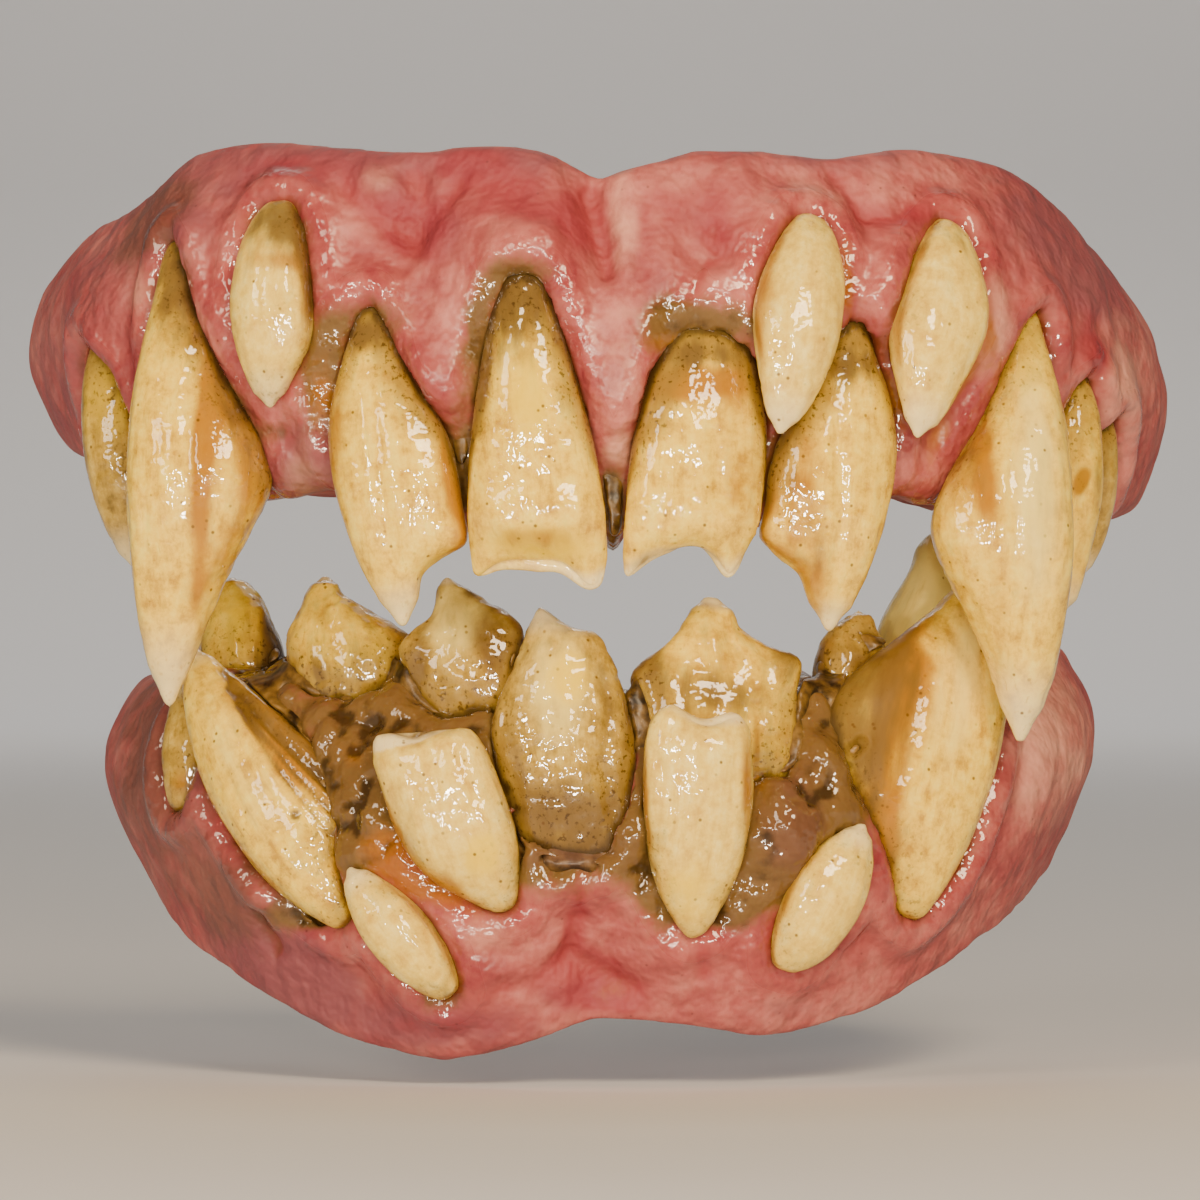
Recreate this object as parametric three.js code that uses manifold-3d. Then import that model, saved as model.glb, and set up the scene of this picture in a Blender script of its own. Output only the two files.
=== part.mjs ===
// Demon costume teeth: an upper and a lower plate of pink acrylic gum with false teeth set in them.
// Each gum is a horseshoe trough that slips over the wearer's own teeth, open upwards on the upper
// plate and downwards on the lower one. Millimetres, +Z up, the front towards -Y and +X to the
// viewer's right. The origin is on the floor of the upper trough, at the midline.
import * as THREE from "three";
import { mergeVertices } from "three/addons/utils/BufferGeometryUtils.js";
import Module from "manifold-3d";

const wasm = await Module();
wasm.setup();

// Driving sizes.
const socketGap = 0.3; // between a tooth and its socket, or its neighbour
const archSweep = 100; // degrees that each horseshoe runs back from the midline, on either side
const gumStations = 40; // sections along a gum
const frontRows = 8; // rows down the outer face of a gum
const toothSides = 10; // points round a tooth
const crestRound = 1.2; // height of the rounding at the edge that carries the teeth
const bevel = 0.7; // along the edges of the trough and of the inner wall
const rimThick = 2; // of the front flange at its free edge
const flangeBend = 0.6; // share of the flange's height where its back leans out most
const faceOut = 8; // about how far the gums' outer faces stand out from the arch line
const sectionPower = 0.85; // under 1 squares a tooth's section a little
const edgeStart = 0.55; // share of a tooth's length where the shaping of its biting edge begins

const table = (columns, rows) =>
  rows.map((row) => Object.fromEntries(columns.map((column, i) => [column, row[i]])));

// The trough is measured from the arch line, its middle: outside is towards the lips, inside towards
// the tongue. The rim is the free edge of the front flange, the crest is the edge that carries the
// teeth, and the lip is the free edge of the inner wall. A bellyPower over 1 puts the fullest part of
// the outer face nearer the crest.
const upperPlate = {
  halfWidth: 27.4,
  depth: 24,
  front: 0,
  up: 1,
  outside: 3,
  inside: 3.6,
  innerWall: 2,
  floorHeight: 3,
  rimOut: 5,
  crestOut: 6.2,
  bellyPower: 0.9,
};
const lowerPlate = {
  halfWidth: 23.3,
  depth: 21,
  front: 2.5,
  up: -1,
  outside: 2.8,
  inside: 3.4,
  innerWall: 2,
  floorHeight: 2.6,
  rimOut: 4.5,
  crestOut: 5.8,
  bellyPower: 1.3,
};

// Heights of each gum along its arch, by degrees from the midline; belly is the swell of its face.
const sectionColumns = ["at", "rim", "crest", "lip", "belly"];
upperPlate.sections = table(sectionColumns, [
  [-100, 8.6, -0.4, 4.4, 1.2],
  [-95, 11.4, -0.6, 5.4, 2.1],
  [-85, 12.6, -0.6, 6, 2.5],
  [-69, 13.8, -1.2, 6.5, 2.7],
  [-58, 15.4, -2.2, 7, 2.7],
  [-49, 17.4, -2.8, 7, 2.6],
  [-40, 18, -3, 7, 2.6],
  [-22, 17, -3, 7.5, 2.6],
  [-10, 17.4, -3, 7.5, 2.6],
  [-4, 16.6, -3, 7.5, 2.5],
  [0, 15.3, -3, 7.5, 2.4],
  [4, 16.2, -3, 7.5, 2.5],
  [13, 17.1, -3, 7.5, 2.6],
  [24, 16.7, -3, 7.5, 2.6],
  [34, 17.3, -3, 7, 2.6],
  [43, 17.2, -3.2, 7, 2.6],
  [50, 16.6, -3.6, 7, 2.6],
  [61, 14.1, -4.2, 6.5, 2.7],
  [77, 10.9, -4.6, 6, 2.7],
  [90, 9, -4.4, 5, 2.5],
  [95, 8, -4.2, 4.4, 2.1],
  [100, 5.6, -3.8, 3.4, 1.2],
]);
lowerPlate.sections = table(sectionColumns, [
  [-100, -23, -14.4, -20.6, 1.2],
  [-95, -25.4, -14, -21.4, 2],
  [-85, -27, -13.8, -22, 2.4],
  [-68, -29.7, -13.8, -23.5, 2.6],
  [-50, -32.5, -14.2, -25, 2.6],
  [-33, -35.4, -14.6, -26.5, 2.6],
  [-20, -36.5, -15.2, -27, 2.6],
  [-10, -35.6, -15.2, -27, 2.5],
  [0, -34.1, -15.2, -27, 2.4],
  [11, -34.5, -15.2, -27, 2.5],
  [21, -35.1, -15.2, -27, 2.6],
  [33, -34.2, -14.6, -26.5, 2.6],
  [41, -32.9, -14.2, -25.5, 2.6],
  [61, -29.2, -12.8, -23, 2.6],
  [80, -26.5, -11.4, -21.5, 2.5],
  [95, -24, -12, -20.4, 2],
  [100, -21.6, -12.4, -19.4, 1.2],
]);

// Swells and dents of each gum's face: the middle by x and z, the spread either way, and how far out.
const swellColumns = ["x", "z", "wide", "tall", "out"];
upperPlate.swells = table(swellColumns, [
  [-31, 7, 3, 4, 0.4],
  [-25.5, 12.5, 2.6, 4, 0.9],
  [-19.4, 15, 3, 2.2, 0.7],
  [-12.2, 11.5, 2.3, 4, -1.3],
  [-7.6, 14.6, 1.8, 2, -0.8],
  [-4.5, 11.5, 2.6, 4, 0.8],
  [0, 12, 1.1, 3.5, -1],
  [1.5, 10, 1, 6.5, 0.7],
  [5.8, 11.8, 1.6, 2.6, -0.9],
  [8.6, 14, 2, 2.4, 0.6],
  [17.3, 12, 1.9, 5, 0.5],
  [25, 10.5, 2.8, 4, 0.9],
  [31, 4, 3, 4, 0.4],
]);
lowerPlate.swells = table(swellColumns, [
  [-26, -21, 3, 4, 0.4],
  [-20, -28, 3.5, 3, 0.7],
  [-9.5, -33, 4.5, 2.6, 0.8],
  [-0.8, -31.5, 1.7, 3.5, -1],
  [10, -32.5, 4, 2.6, 0.7],
  [20, -27.5, 3.5, 3, 0.7],
  [27, -19, 3, 4, 0.4],
]);

// Shapes of teeth as rows from the root end to the tip. Outer (away from the midline), inner, front
// and back are shares of the tooth's own half sizes.
const shapeColumns = ["at", "outer", "inner", "front", "back"];
const toothShapes = {
  fang: table(shapeColumns, [
    [0, 0.25, 0.07, 0.12, 0.12],
    [0.08, 0.45, 0.15, 0.36, 0.36],
    [0.19, 0.66, 0.31, 0.62, 0.6],
    [0.31, 0.92, 0.54, 0.85, 0.8],
    [0.42, 1, 0.85, 1, 0.95],
    [0.52, 1, 1, 1, 1],
    [0.6, 0.97, 0.82, 0.93, 0.93],
    [0.7, 0.9, 0.56, 0.8, 0.8],
    [0.82, 0.73, 0.33, 0.58, 0.58],
    [0.93, 0.44, 0.16, 0.33, 0.33],
    [1, 0.12, 0.04, 0.09, 0.09],
  ]),
  central: table(shapeColumns, [
    [0, 0.16, 0.14, 0.2, 0.2],
    [0.1, 0.36, 0.32, 0.52, 0.5],
    [0.2, 0.55, 0.44, 0.76, 0.7],
    [0.38, 0.74, 0.66, 0.98, 0.95],
    [0.6, 0.92, 0.9, 1, 1],
    [0.78, 0.98, 0.98, 0.88, 0.85],
    [0.92, 1, 1, 0.66, 0.6],
    [1, 0.9, 0.93, 0.36, 0.34],
  ]),
  chipped: table(shapeColumns, [
    [0, 0.3, 0.26, 0.2, 0.2],
    [0.12, 0.6, 0.56, 0.56, 0.54],
    [0.26, 0.84, 0.76, 0.84, 0.8],
    [0.44, 0.97, 0.92, 1, 1],
    [0.64, 1, 1, 0.98, 0.98],
    [0.8, 0.98, 1, 0.84, 0.82],
    [0.92, 0.86, 1, 0.64, 0.6],
    [1, 0.66, 0.96, 0.36, 0.34],
  ]),
  hooked: table(shapeColumns, [
    [0, 0.12, 0.1, 0.2, 0.2],
    [0.1, 0.34, 0.24, 0.5, 0.5],
    [0.2, 0.6, 0.42, 0.76, 0.72],
    [0.31, 0.88, 0.66, 0.94, 0.9],
    [0.42, 1, 0.9, 1, 1],
    [0.56, 0.97, 1, 1, 1],
    [0.69, 0.8, 1, 0.92, 0.9],
    [0.77, 0.66, 0.92, 0.8, 0.78],
    [0.82, 0.56, 0.56, 0.68, 0.66],
    [0.92, 0.32, 0.25, 0.42, 0.4],
    [1, 0.08, 0.06, 0.12, 0.12],
  ]),
  leaf: table(shapeColumns, [
    [0, 0.3, 0.3, 0.3, 0.3],
    [0.1, 0.62, 0.62, 0.66, 0.66],
    [0.25, 0.88, 0.88, 0.92, 0.9],
    [0.45, 1, 1, 1, 1],
    [0.62, 0.93, 0.93, 0.94, 0.95],
    [0.78, 0.7, 0.7, 0.72, 0.75],
    [0.91, 0.38, 0.38, 0.42, 0.44],
    [1, 0.08, 0.08, 0.1, 0.1],
  ]),
  cusp: table(shapeColumns, [
    [0, 0.74, 0.7, 0.7, 0.7],
    [0.16, 0.92, 0.92, 0.92, 0.92],
    [0.4, 1, 1, 1, 1],
    [0.64, 0.86, 0.82, 0.84, 0.84],
    [0.84, 0.5, 0.38, 0.5, 0.5],
    [0.95, 0.26, 0.16, 0.26, 0.26],
    [1, 0.08, 0.06, 0.1, 0.1],
  ]),
  tusk: table(shapeColumns, [
    [0, 0.2, 0.16, 0.25, 0.25],
    [0.1, 0.52, 0.34, 0.58, 0.56],
    [0.22, 0.84, 0.68, 0.84, 0.82],
    [0.34, 0.98, 0.93, 0.97, 0.96],
    [0.47, 1, 1, 1, 1],
    [0.6, 0.92, 0.86, 0.92, 0.92],
    [0.74, 0.74, 0.55, 0.74, 0.74],
    [0.88, 0.5, 0.26, 0.48, 0.48],
    [1, 0.16, 0.07, 0.14, 0.14],
  ]),
  broadTusk: table(shapeColumns, [
    [0, 0.2, 0.12, 0.25, 0.25],
    [0.1, 0.5, 0.3, 0.58, 0.56],
    [0.22, 0.76, 0.66, 0.84, 0.82],
    [0.36, 0.92, 0.94, 0.97, 0.96],
    [0.5, 1, 1, 1, 1],
    [0.62, 1, 0.9, 0.92, 0.92],
    [0.74, 0.94, 0.6, 0.76, 0.76],
    [0.87, 0.72, 0.27, 0.5, 0.5],
    [1, 0.2, 0.06, 0.14, 0.14],
  ]),
  block: table(shapeColumns, [
    [0, 0.12, 0.14, 0.2, 0.2],
    [0.09, 0.36, 0.4, 0.5, 0.5],
    [0.22, 0.66, 0.7, 0.78, 0.76],
    [0.4, 0.92, 0.9, 0.97, 0.96],
    [0.62, 1, 1, 1, 1],
    [0.85, 0.94, 0.98, 0.9, 0.9],
    [0.95, 0.86, 0.92, 0.7, 0.7],
    [1, 0.72, 0.78, 0.42, 0.42],
  ]),
  stump: table(shapeColumns, [
    [0, 0.5, 0.5, 0.5, 0.5],
    [0.18, 0.86, 0.86, 0.86, 0.86],
    [0.42, 1, 1, 1, 1],
    [0.62, 0.84, 0.9, 0.95, 0.95],
    [0.8, 0.6, 0.72, 0.85, 0.85],
    [0.92, 0.5, 0.58, 0.66, 0.66],
    [1, 0.34, 0.36, 0.34, 0.34],
  ]),
};

// One row for each tooth, nearest the lips first, because a tooth makes room for those before it.
// Root and tip are each given by x, z and the distance out from the arch line; side is 1 for the
// viewer's right; bow bends the middle outwards; turn is the share of the arch's own turn; notch and
// slant shape a biting edge.
const toothColumns = ["name", "shape", "side", "rootX", "rootZ", "rootOut", "tipX", "tipZ", "tipOut"].concat(
  ["outer", "inner", "front", "back", "bow", "turn", "notch", "slant", "finish"],
);
upperPlate.teeth = table(toothColumns, [
  ["upper_left_spur", "leaf", -1, -18.9, 14, 7.2, -19.4, 1.9, 8.9]
    .concat([2.5, 2.5, 1.8, 1.9, 0.7, 0.9, 0, 0, "pale"]),
  ["upper_right_inner_spur", "leaf", 1, 12.4, 13, 7.4, 10.4, 0.2, 10]
    .concat([2.5, 2.5, 1.8, 1.6, 0.8, 0.9, 0, 0, "pale"]),
  ["upper_right_outer_spur", "leaf", 1, 20.6, 12.9, 7.3, 18.5, 0.1, 9.8]
    .concat([2.6, 2.6, 1.8, 1.6, 0.8, 0.9, 0, 0, "pale"]),
  ["upper_left_fang", "fang", -1, -25, 12, 7.2, -25.6, -15.7, 8.6]
    .concat([2.1, 7, 3.3, 3.3, 1.4, 0.35, 0, 0, "ivory"]),
  ["upper_right_fang", "fang", 1, 25.2, 8.2, 7.2, 24.9, -17.8, 8.6]
    .concat([2.4, 6.6, 3.3, 3.3, 1.4, 0.35, 0, 0, "ivory"]),
  ["upper_left_central", "central", -1, -4.4, 10.6, 6.8, -3.5, -7.5, 7.8]
    .concat([4.1, 4.1, 2.2, 2.4, 0.5, 0.9, 1.4, 0.4, "ivory"]),
  ["upper_right_central", "chipped", 1, 6.1, 8.4, 5.5, 5.3, -6.9, 7.6]
    .concat([4.1, 4.1, 2.2, 2.2, 0.6, 0.9, 1.6, 0.1, "ivory"]),
  ["upper_left_lateral", "hooked", -1, -13.5, 8.4, 6.5, -11.5, -10.9, 7.8]
    .concat([3.2, 4.5, 2.3, 2.4, 0.6, 0.8, 0, 0, "ivory"]),
  ["upper_right_lateral", "hooked", 1, 14.6, 8.4, 6.4, 13.4, -11.2, 7.4]
    .concat([3.2, 4.5, 2.2, 2.2, 0.5, 0.8, 0, 0, "ivory"]),
  ["upper_left_side_tooth", "leaf", -1, -29.6, 7.2, 6.4, -27.9, -7.6, 6.2]
    .concat([2.2, 2.6, 2.3, 2.3, 0.4, 0.4, 0, 0, "olive"]),
  ["upper_right_side_tooth", "leaf", 1, 28.4, 4.6, 6.8, 27.7, -10.4, 6.4]
    .concat([1.8, 2.2, 2.2, 2.2, 0.4, 0.4, 0, 0, "ivory"]),
  ["upper_right_rear_tooth", "leaf", 1, 29.9, 3.4, 6, 29, -8.2, 4.8]
    .concat([1.6, 2, 2.2, 2.2, 0.4, 0.4, 0, 0, "olive"]),
]);
lowerPlate.teeth = table(toothColumns, [
  ["lower_left_spur", "leaf", -1, -8.9, -32.4, 6.6, -14.9, -25, 8.4]
    .concat([1.9, 1.9, 1.6, 1.6, 0.4, 0.9, 0, 0, "pale"]),
  ["lower_right_spur", "leaf", 1, 10.7, -31, 6.8, 15.6, -22.4, 8.6]
    .concat([2.3, 2.3, 1.7, 1.6, 0.4, 0.9, 0, 0, "pale"]),
  ["lower_left_front", "block", -1, -5.4, -27.4, 7, -10.4, -16.9, 8.6]
    .concat([4, 2.9, 1.9, 1.8, 0.3, 0.9, 0.2, -1, "pale"]),
  ["lower_right_front", "block", 1, 5.5, -29, 7, 5.9, -16, 8.6]
    .concat([3.3, 3.4, 2, 1.8, 0.3, 0.9, 0.3, -0.2, "pale"]),
  ["lower_left_tusk", "tusk", -1, -15, -28.3, 6.8, -24.8, -12, 6.6]
    .concat([3.3, 4.1, 2.4, 2.5, 0.8, 0.6, 0, 0, "ivory"]),
  ["lower_right_tusk", "broadTusk", 1, 18.4, -28, 6.9, 22.5, -7.7, 5.6]
    .concat([3.3, 7.8, 2.4, 2.5, 0.8, 0.6, 0, 0, "ivory"]),
  ["lower_centre", "stump", -1, -1.5, -25.2, 6, -2.3, -10.4, 4.8]
    .concat([4.1, 4.2, 2.1, 2, 0.2, 0.9, 0.3, -0.5, "olive"]),
  ["lower_right_premolar", "cusp", 1, 7.4, -20.6, 5.5, 6.4, -9, 3.6]
    .concat([5, 4.8, 1.7, 1.8, 0.1, 0.8, 0, 0, "ivory"]),
  ["lower_left_inner", "cusp", -1, -7.9, -16.4, 3.2, -9.2, -7.9, 2.6]
    .concat([2.8, 4, 2, 2, 0, 0.8, 0, 0, "olive"]),
  ["lower_left_premolar", "cusp", -1, -15, -15.8, 2.8, -16.5, -7.8, 2]
    .concat([3, 3.9, 2.2, 2.2, 0, 0.6, 0, 0, "ivory"]),
  ["lower_right_small", "cusp", 1, 14.7, -15.5, 2.6, 15.5, -9.9, 2.4]
    .concat([2.3, 2.4, 1.9, 1.9, 0, 0.6, 0, 0, "olive"]),
  ["lower_left_molar", "cusp", -1, -24.7, -22, 6.9, -25, -14, 6.2]
    .concat([1.6, 1.8, 1.5, 1.6, 0, 0.5, 0, 0, "olive"]),
  ["lower_left_rear", "cusp", -1, -21.7, -14.8, 0.4, -22.7, -7.9, 0.2]
    .concat([2.6, 3, 2.4, 2.4, 0, 0.4, 0, 0, "ivory"]),
  ["lower_right_rear", "cusp", 1, 18.4, -13.7, 0.4, 20.7, -4.9, 0.2]
    .concat([2.2, 2.3, 2.2, 2.2, 0, 0.4, 0, 0, "olive"]),
]);

const finishes = {
  gum: { color: 0xc0736c, roughness: 0.28, metalness: 0 },
  ivory: { color: 0xdcc187, roughness: 0.25, metalness: 0 },
  pale: { color: 0xe4d3ab, roughness: 0.25, metalness: 0 },
  olive: { color: 0xb39a5e, roughness: 0.3, metalness: 0 },
};

// A point of a plate's plan at an angle from the midline, out from the arch line, at a height.
function archPoint(plate, angle, out, z) {
  const across = plate.depth * Math.sin(angle);
  const ahead = plate.halfWidth * Math.cos(angle);
  const length = Math.hypot(across, ahead);
  const x = plate.halfWidth * Math.sin(angle) + (out * across) / length;
  const y = plate.front + plate.depth * (1 - Math.cos(angle)) - (out * ahead) / length;
  return new THREE.Vector3(x, y, z);
}

// The angle from the midline at which a point that far out from the arch line has this x.
function archAngle(plate, x, out) {
  const halvings = 40;
  let low = -Math.PI / 2;
  let high = Math.PI / 2;
  for (let i = 0; i < halvings; i++) {
    const middle = (low + high) / 2;
    if (archPoint(plate, middle, out, 0).x < x) low = middle;
    else high = middle;
  }
  return (low + high) / 2;
}

// A smooth curve through one column of a table of sections.
function smoothColumn(rows, column) {
  const places = rows.map((row) => row.at);
  const values = rows.map((row) => row[column]);
  const curve = new THREE.CubicInterpolant(places, values, 1);
  return (at) => curve.evaluate(at)[0];
}

// How far a gum's face stands out of its plain section at an angle and a height.
function swellAt(plate, angle, z) {
  const radius = plate.halfWidth + faceOut;
  return plate.swells.reduce((sum, swell) => {
    const along = (angle - archAngle(plate, swell.x, faceOut)) * radius;
    const reach = (along / swell.wide) ** 2 + ((z - swell.z) / swell.tall) ** 2;
    return sum + swell.out * Math.exp(-reach);
  }, 0);
}

// The outline of a gum across its arch, as distances out from the arch line and up from the crest:
// down the outer face, round the crest, up and over the inner wall, and along the trough.
function gumOutline(plate, section, angle) {
  const { outside, inside, innerWall, floorHeight, rimOut, crestOut, bellyPower, up } = plate;
  const rim = Math.abs(section.rim - section.crest);
  const lip = Math.abs(section.lip - section.crest);
  const outline = [];
  for (let i = 0; i <= frontRows; i++) {
    const share = i / frontRows;
    const height = THREE.MathUtils.lerp(rim, crestRound, share);
    const plain = THREE.MathUtils.lerp(rimOut, crestOut, share);
    const belly = section.belly * Math.sin(Math.PI * share ** bellyPower);
    const swell = swellAt(plate, angle, section.crest + up * height);
    outline.push([plain + belly + swell, height]);
  }
  const wallBack = -inside - innerWall;
  outline.push([crestOut - (2 * crestRound) / 3, crestRound / 3], [crestOut - 2 * crestRound, 0]);
  outline.push([-inside + bevel, 0], [wallBack + bevel, crestRound], [wallBack, lip / 2]);
  outline.push([wallBack, lip - bevel], [wallBack + bevel, lip], [-inside - bevel / 2, lip - bevel]);
  outline.push([-inside, floorHeight + bevel], [-inside + bevel, floorHeight]);
  outline.push([outside - bevel, floorHeight], [outside, floorHeight + bevel]);
  outline.push([outside + bevel / 2, rim * flangeBend], [rimOut - rimThick, rim - crestRound]);
  outline.push([rimOut - rimThick / 2, rim + bevel / 4]);
  return outline.map(([out, height]) => new THREE.Vector2(out, height));
}

// A closed mesh through rings of points, with both ends filled as the flat outline is.
function loft(rings, outline) {
  const count = outline.length;
  const points = rings.flat();
  const last = points.length - count;
  const faces = [];
  for (let r = 0; r + 1 < rings.length; r++) {
    for (let i = 0; i < count; i++) {
      const a = r * count + i;
      const b = r * count + ((i + 1) % count);
      faces.push([a, b, b + count], [a, b + count, a + count]);
    }
  }
  const turned = THREE.ShapeUtils.isClockWise(outline);
  for (const [a, ...rest] of THREE.ShapeUtils.triangulateShape(outline, [])) {
    const [b, c] = turned ? rest.reverse() : rest;
    faces.push([a, c, b], [last + a, last + b, last + c]);
  }
  const volume = faces.reduce((sum, [a, b, c]) => {
    const normal = new THREE.Vector3().crossVectors(points[b], points[c]);
    return sum + points[a].dot(normal);
  }, 0);
  const facing = volume > 0 ? faces : faces.map(([a, b, c]) => [a, c, b]);
  const geometry = new THREE.BufferGeometry().setFromPoints(points);
  geometry.setIndex(facing.flat());
  return geometry;
}

function gumGeometry(plate) {
  const curves = sectionColumns.map((column) => [column, smoothColumn(plate.sections, column)]);
  const outlines = [];
  const rings = [];
  for (let i = 0; i <= gumStations; i++) {
    const at = archSweep * ((2 * i) / gumStations - 1);
    const section = Object.fromEntries(curves.map(([column, curve]) => [column, curve(at)]));
    const angle = THREE.MathUtils.degToRad(at);
    const outline = gumOutline(plate, section, angle);
    outlines.push(outline);
    rings.push(outline.map((p) => archPoint(plate, angle, p.x, section.crest + plate.up * p.y)));
  }
  return loft(rings, outlines[0]);
}

// A tooth between its root and tip, with its sides given along the arch; grow makes it a socket.
function toothGeometry(plate, tooth, grow) {
  const rootAngle = archAngle(plate, tooth.rootX, tooth.rootOut);
  const tipAngle = archAngle(plate, tooth.tipX, tooth.tipOut);
  const root = archPoint(plate, rootAngle, tooth.rootOut, tooth.rootZ);
  const tip = archPoint(plate, tipAngle, tooth.tipOut, tooth.tipZ);
  const down = tip.clone().sub(root);
  const length = down.length();
  down.normalize();
  root.addScaledVector(down, -grow);
  const faceAngle = ((rootAngle + tipAngle) / 2) * tooth.turn;
  const out = new THREE.Vector3(Math.sin(faceAngle), -Math.cos(faceAngle), 0);
  out.addScaledVector(down, -out.dot(down)).normalize();
  const right = new THREE.Vector3().crossVectors(out, down);
  if (right.x < 0) right.negate();
  const outline = [];
  for (let i = 0; i < toothSides; i++) {
    const turn = (2 * Math.PI * i) / toothSides;
    const round = (value) => Math.sign(value) * Math.abs(value) ** sectionPower;
    outline.push(new THREE.Vector2(round(Math.cos(turn)), round(Math.sin(turn))));
  }
  const rings = toothShapes[tooth.shape].map((row) => {
    const edge = THREE.MathUtils.smoothstep(row.at, edgeStart, 1);
    const bow = 4 * tooth.bow * row.at * (1 - row.at);
    return outline.map((p) => {
      const isOuter = p.x * tooth.side > 0;
      const side = (isOuter ? tooth.outer * row.outer : tooth.inner * row.inner) + grow;
      const deep = (p.y > 0 ? tooth.front * row.front : tooth.back * row.back) + grow;
      const lift = edge * (tooth.notch * (p.x ** 2 - 0.5) - tooth.slant * tooth.side * p.x);
      const point = root.clone().addScaledVector(down, row.at * (length + 2 * grow) + lift);
      point.addScaledVector(right, side * p.x);
      return point.addScaledVector(out, bow + deep * p.y);
    });
  });
  return loft(rings, outline);
}

function solidOf(geometry) {
  const merged = mergeVertices(geometry, 1e-4);
  const vertProperties = new Float32Array(merged.attributes.position.array);
  const triVerts = new Uint32Array(merged.index.array);
  return new wasm.Manifold(new wasm.Mesh({ numProp: 3, vertProperties, triVerts }));
}

function meshOf(name, solid, finish) {
  const { vertProperties, triVerts } = solid.getMesh();
  const geometry = new THREE.BufferGeometry();
  geometry.setAttribute("position", new THREE.BufferAttribute(vertProperties, 3));
  geometry.setIndex(new THREE.BufferAttribute(triVerts, 1));
  geometry.computeVertexNormals();
  const mesh = new THREE.Mesh(geometry, new THREE.MeshStandardMaterial(finishes[finish]));
  mesh.name = name;
  return mesh;
}

// A plate: its teeth, each cut back from those set before it, and its gum with a socket for each.
function plateGroup(plate, gumName) {
  const group = new THREE.Group();
  const sockets = [];
  for (const tooth of plate.teeth) {
    const whole = solidOf(toothGeometry(plate, tooth, 0));
    const fitted = sockets.reduce((solid, socket) => solid.subtract(socket), whole);
    sockets.push(solidOf(toothGeometry(plate, tooth, socketGap)));
    group.add(meshOf(tooth.name, fitted, tooth.finish));
  }
  const gum = sockets.reduce((solid, socket) => solid.subtract(socket), solidOf(gumGeometry(plate)));
  group.add(meshOf(gumName, gum, "gum"));
  return group;
}

const teeth = new THREE.Group();
teeth.add(plateGroup(upperPlate, "upper_gum"), plateGroup(lowerPlate, "lower_gum"));

export default teeth;
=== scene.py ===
import math

import bmesh
import bpy
import numpy as np
from mathutils.bvhtree import BVHTree
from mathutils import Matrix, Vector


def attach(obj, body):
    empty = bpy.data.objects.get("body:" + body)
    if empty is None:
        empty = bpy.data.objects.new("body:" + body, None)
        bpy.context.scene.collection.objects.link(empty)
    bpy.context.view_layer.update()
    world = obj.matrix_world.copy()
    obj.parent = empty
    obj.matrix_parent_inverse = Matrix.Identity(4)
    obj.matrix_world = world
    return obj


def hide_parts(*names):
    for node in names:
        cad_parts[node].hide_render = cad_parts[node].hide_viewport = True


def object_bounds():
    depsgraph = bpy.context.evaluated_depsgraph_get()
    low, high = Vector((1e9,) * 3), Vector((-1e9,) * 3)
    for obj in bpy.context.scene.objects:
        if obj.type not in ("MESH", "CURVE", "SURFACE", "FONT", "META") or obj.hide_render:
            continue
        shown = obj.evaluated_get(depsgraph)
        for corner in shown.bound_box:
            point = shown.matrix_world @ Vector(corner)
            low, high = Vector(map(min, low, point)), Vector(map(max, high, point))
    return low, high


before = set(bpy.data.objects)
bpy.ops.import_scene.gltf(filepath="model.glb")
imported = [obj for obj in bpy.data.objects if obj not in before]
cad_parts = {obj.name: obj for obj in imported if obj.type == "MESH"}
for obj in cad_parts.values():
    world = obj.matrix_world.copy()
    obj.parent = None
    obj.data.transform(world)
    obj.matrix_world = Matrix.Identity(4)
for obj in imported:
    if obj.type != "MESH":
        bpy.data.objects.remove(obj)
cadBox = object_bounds()
metre = 0.001  # shapes are worked out in millimetres, and written to the meshes in metres


# small tools

def linear(hexColour):  # "#rrggbb" in sRGB to linear red, green, blue, alpha
    channels = [int(hexColour[i:i + 2], 16) / 255 for i in (1, 3, 5)]
    return [c / 12.92 if c < 0.04045 else ((c + 0.055) / 1.055) ** 2.4 for c in channels] + [1]


def wire(tree, node, links):  # links holds sockets to join or values to set
    for socket, value in links.items():
        if isinstance(value, bpy.types.NodeSocket):
            tree.links.new(value, node.inputs[socket])
        else:
            node.inputs[socket].default_value = value


def addNode(tree, kind, settings={}, links={}):
    node = tree.nodes.new("ShaderNode" + kind)
    for name, value in settings.items():
        setattr(node, name, value)
    wire(tree, node, links)
    return node


def ramp(low, high, value):  # 0 at low, 1 at high, smooth between them
    share = np.clip((value - low) / (high - low), 0, 1)
    return share * share * (3 - 2 * share)


def lumps(points, size, seed):  # smooth random swells from -1 to 1, about size apart
    cell = points / size + seed * 7.31
    base = np.floor(cell).astype(np.int64)
    part = cell - base
    part = part * part * (3 - 2 * part)
    total = np.zeros(len(points))
    for corner in np.ndindex(2, 2, 2):
        key = ((base + corner) * (73856093, 19349663, 83492791)).sum(1) + seed * 2654435
        key = (key ^ (key >> 15)) * 2246822519 % 4294967296
        key = (key ^ (key >> 13)) * 3266489917 % 4294967296
        value = ((key >> 8) & 65535) / 32767.5 - 1
        total += value * np.prod(np.where(corner, part, 1 - part), axis=1)
    return total


def spread(across, along, rows):  # sum of soft oval patches: x, z, wide, tall, lean, strength
    total = np.zeros(len(across))
    for x, z, wide, tall, lean, strength in rows:
        turn = math.radians(lean)
        dx, dz = across - x, along - z
        side = (dx * math.cos(turn) + dz * math.sin(turn)) / wide
        up = (dz * math.cos(turn) - dx * math.sin(turn)) / tall
        total += strength * np.exp(-side ** 2 - up ** 2)
    return total


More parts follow.
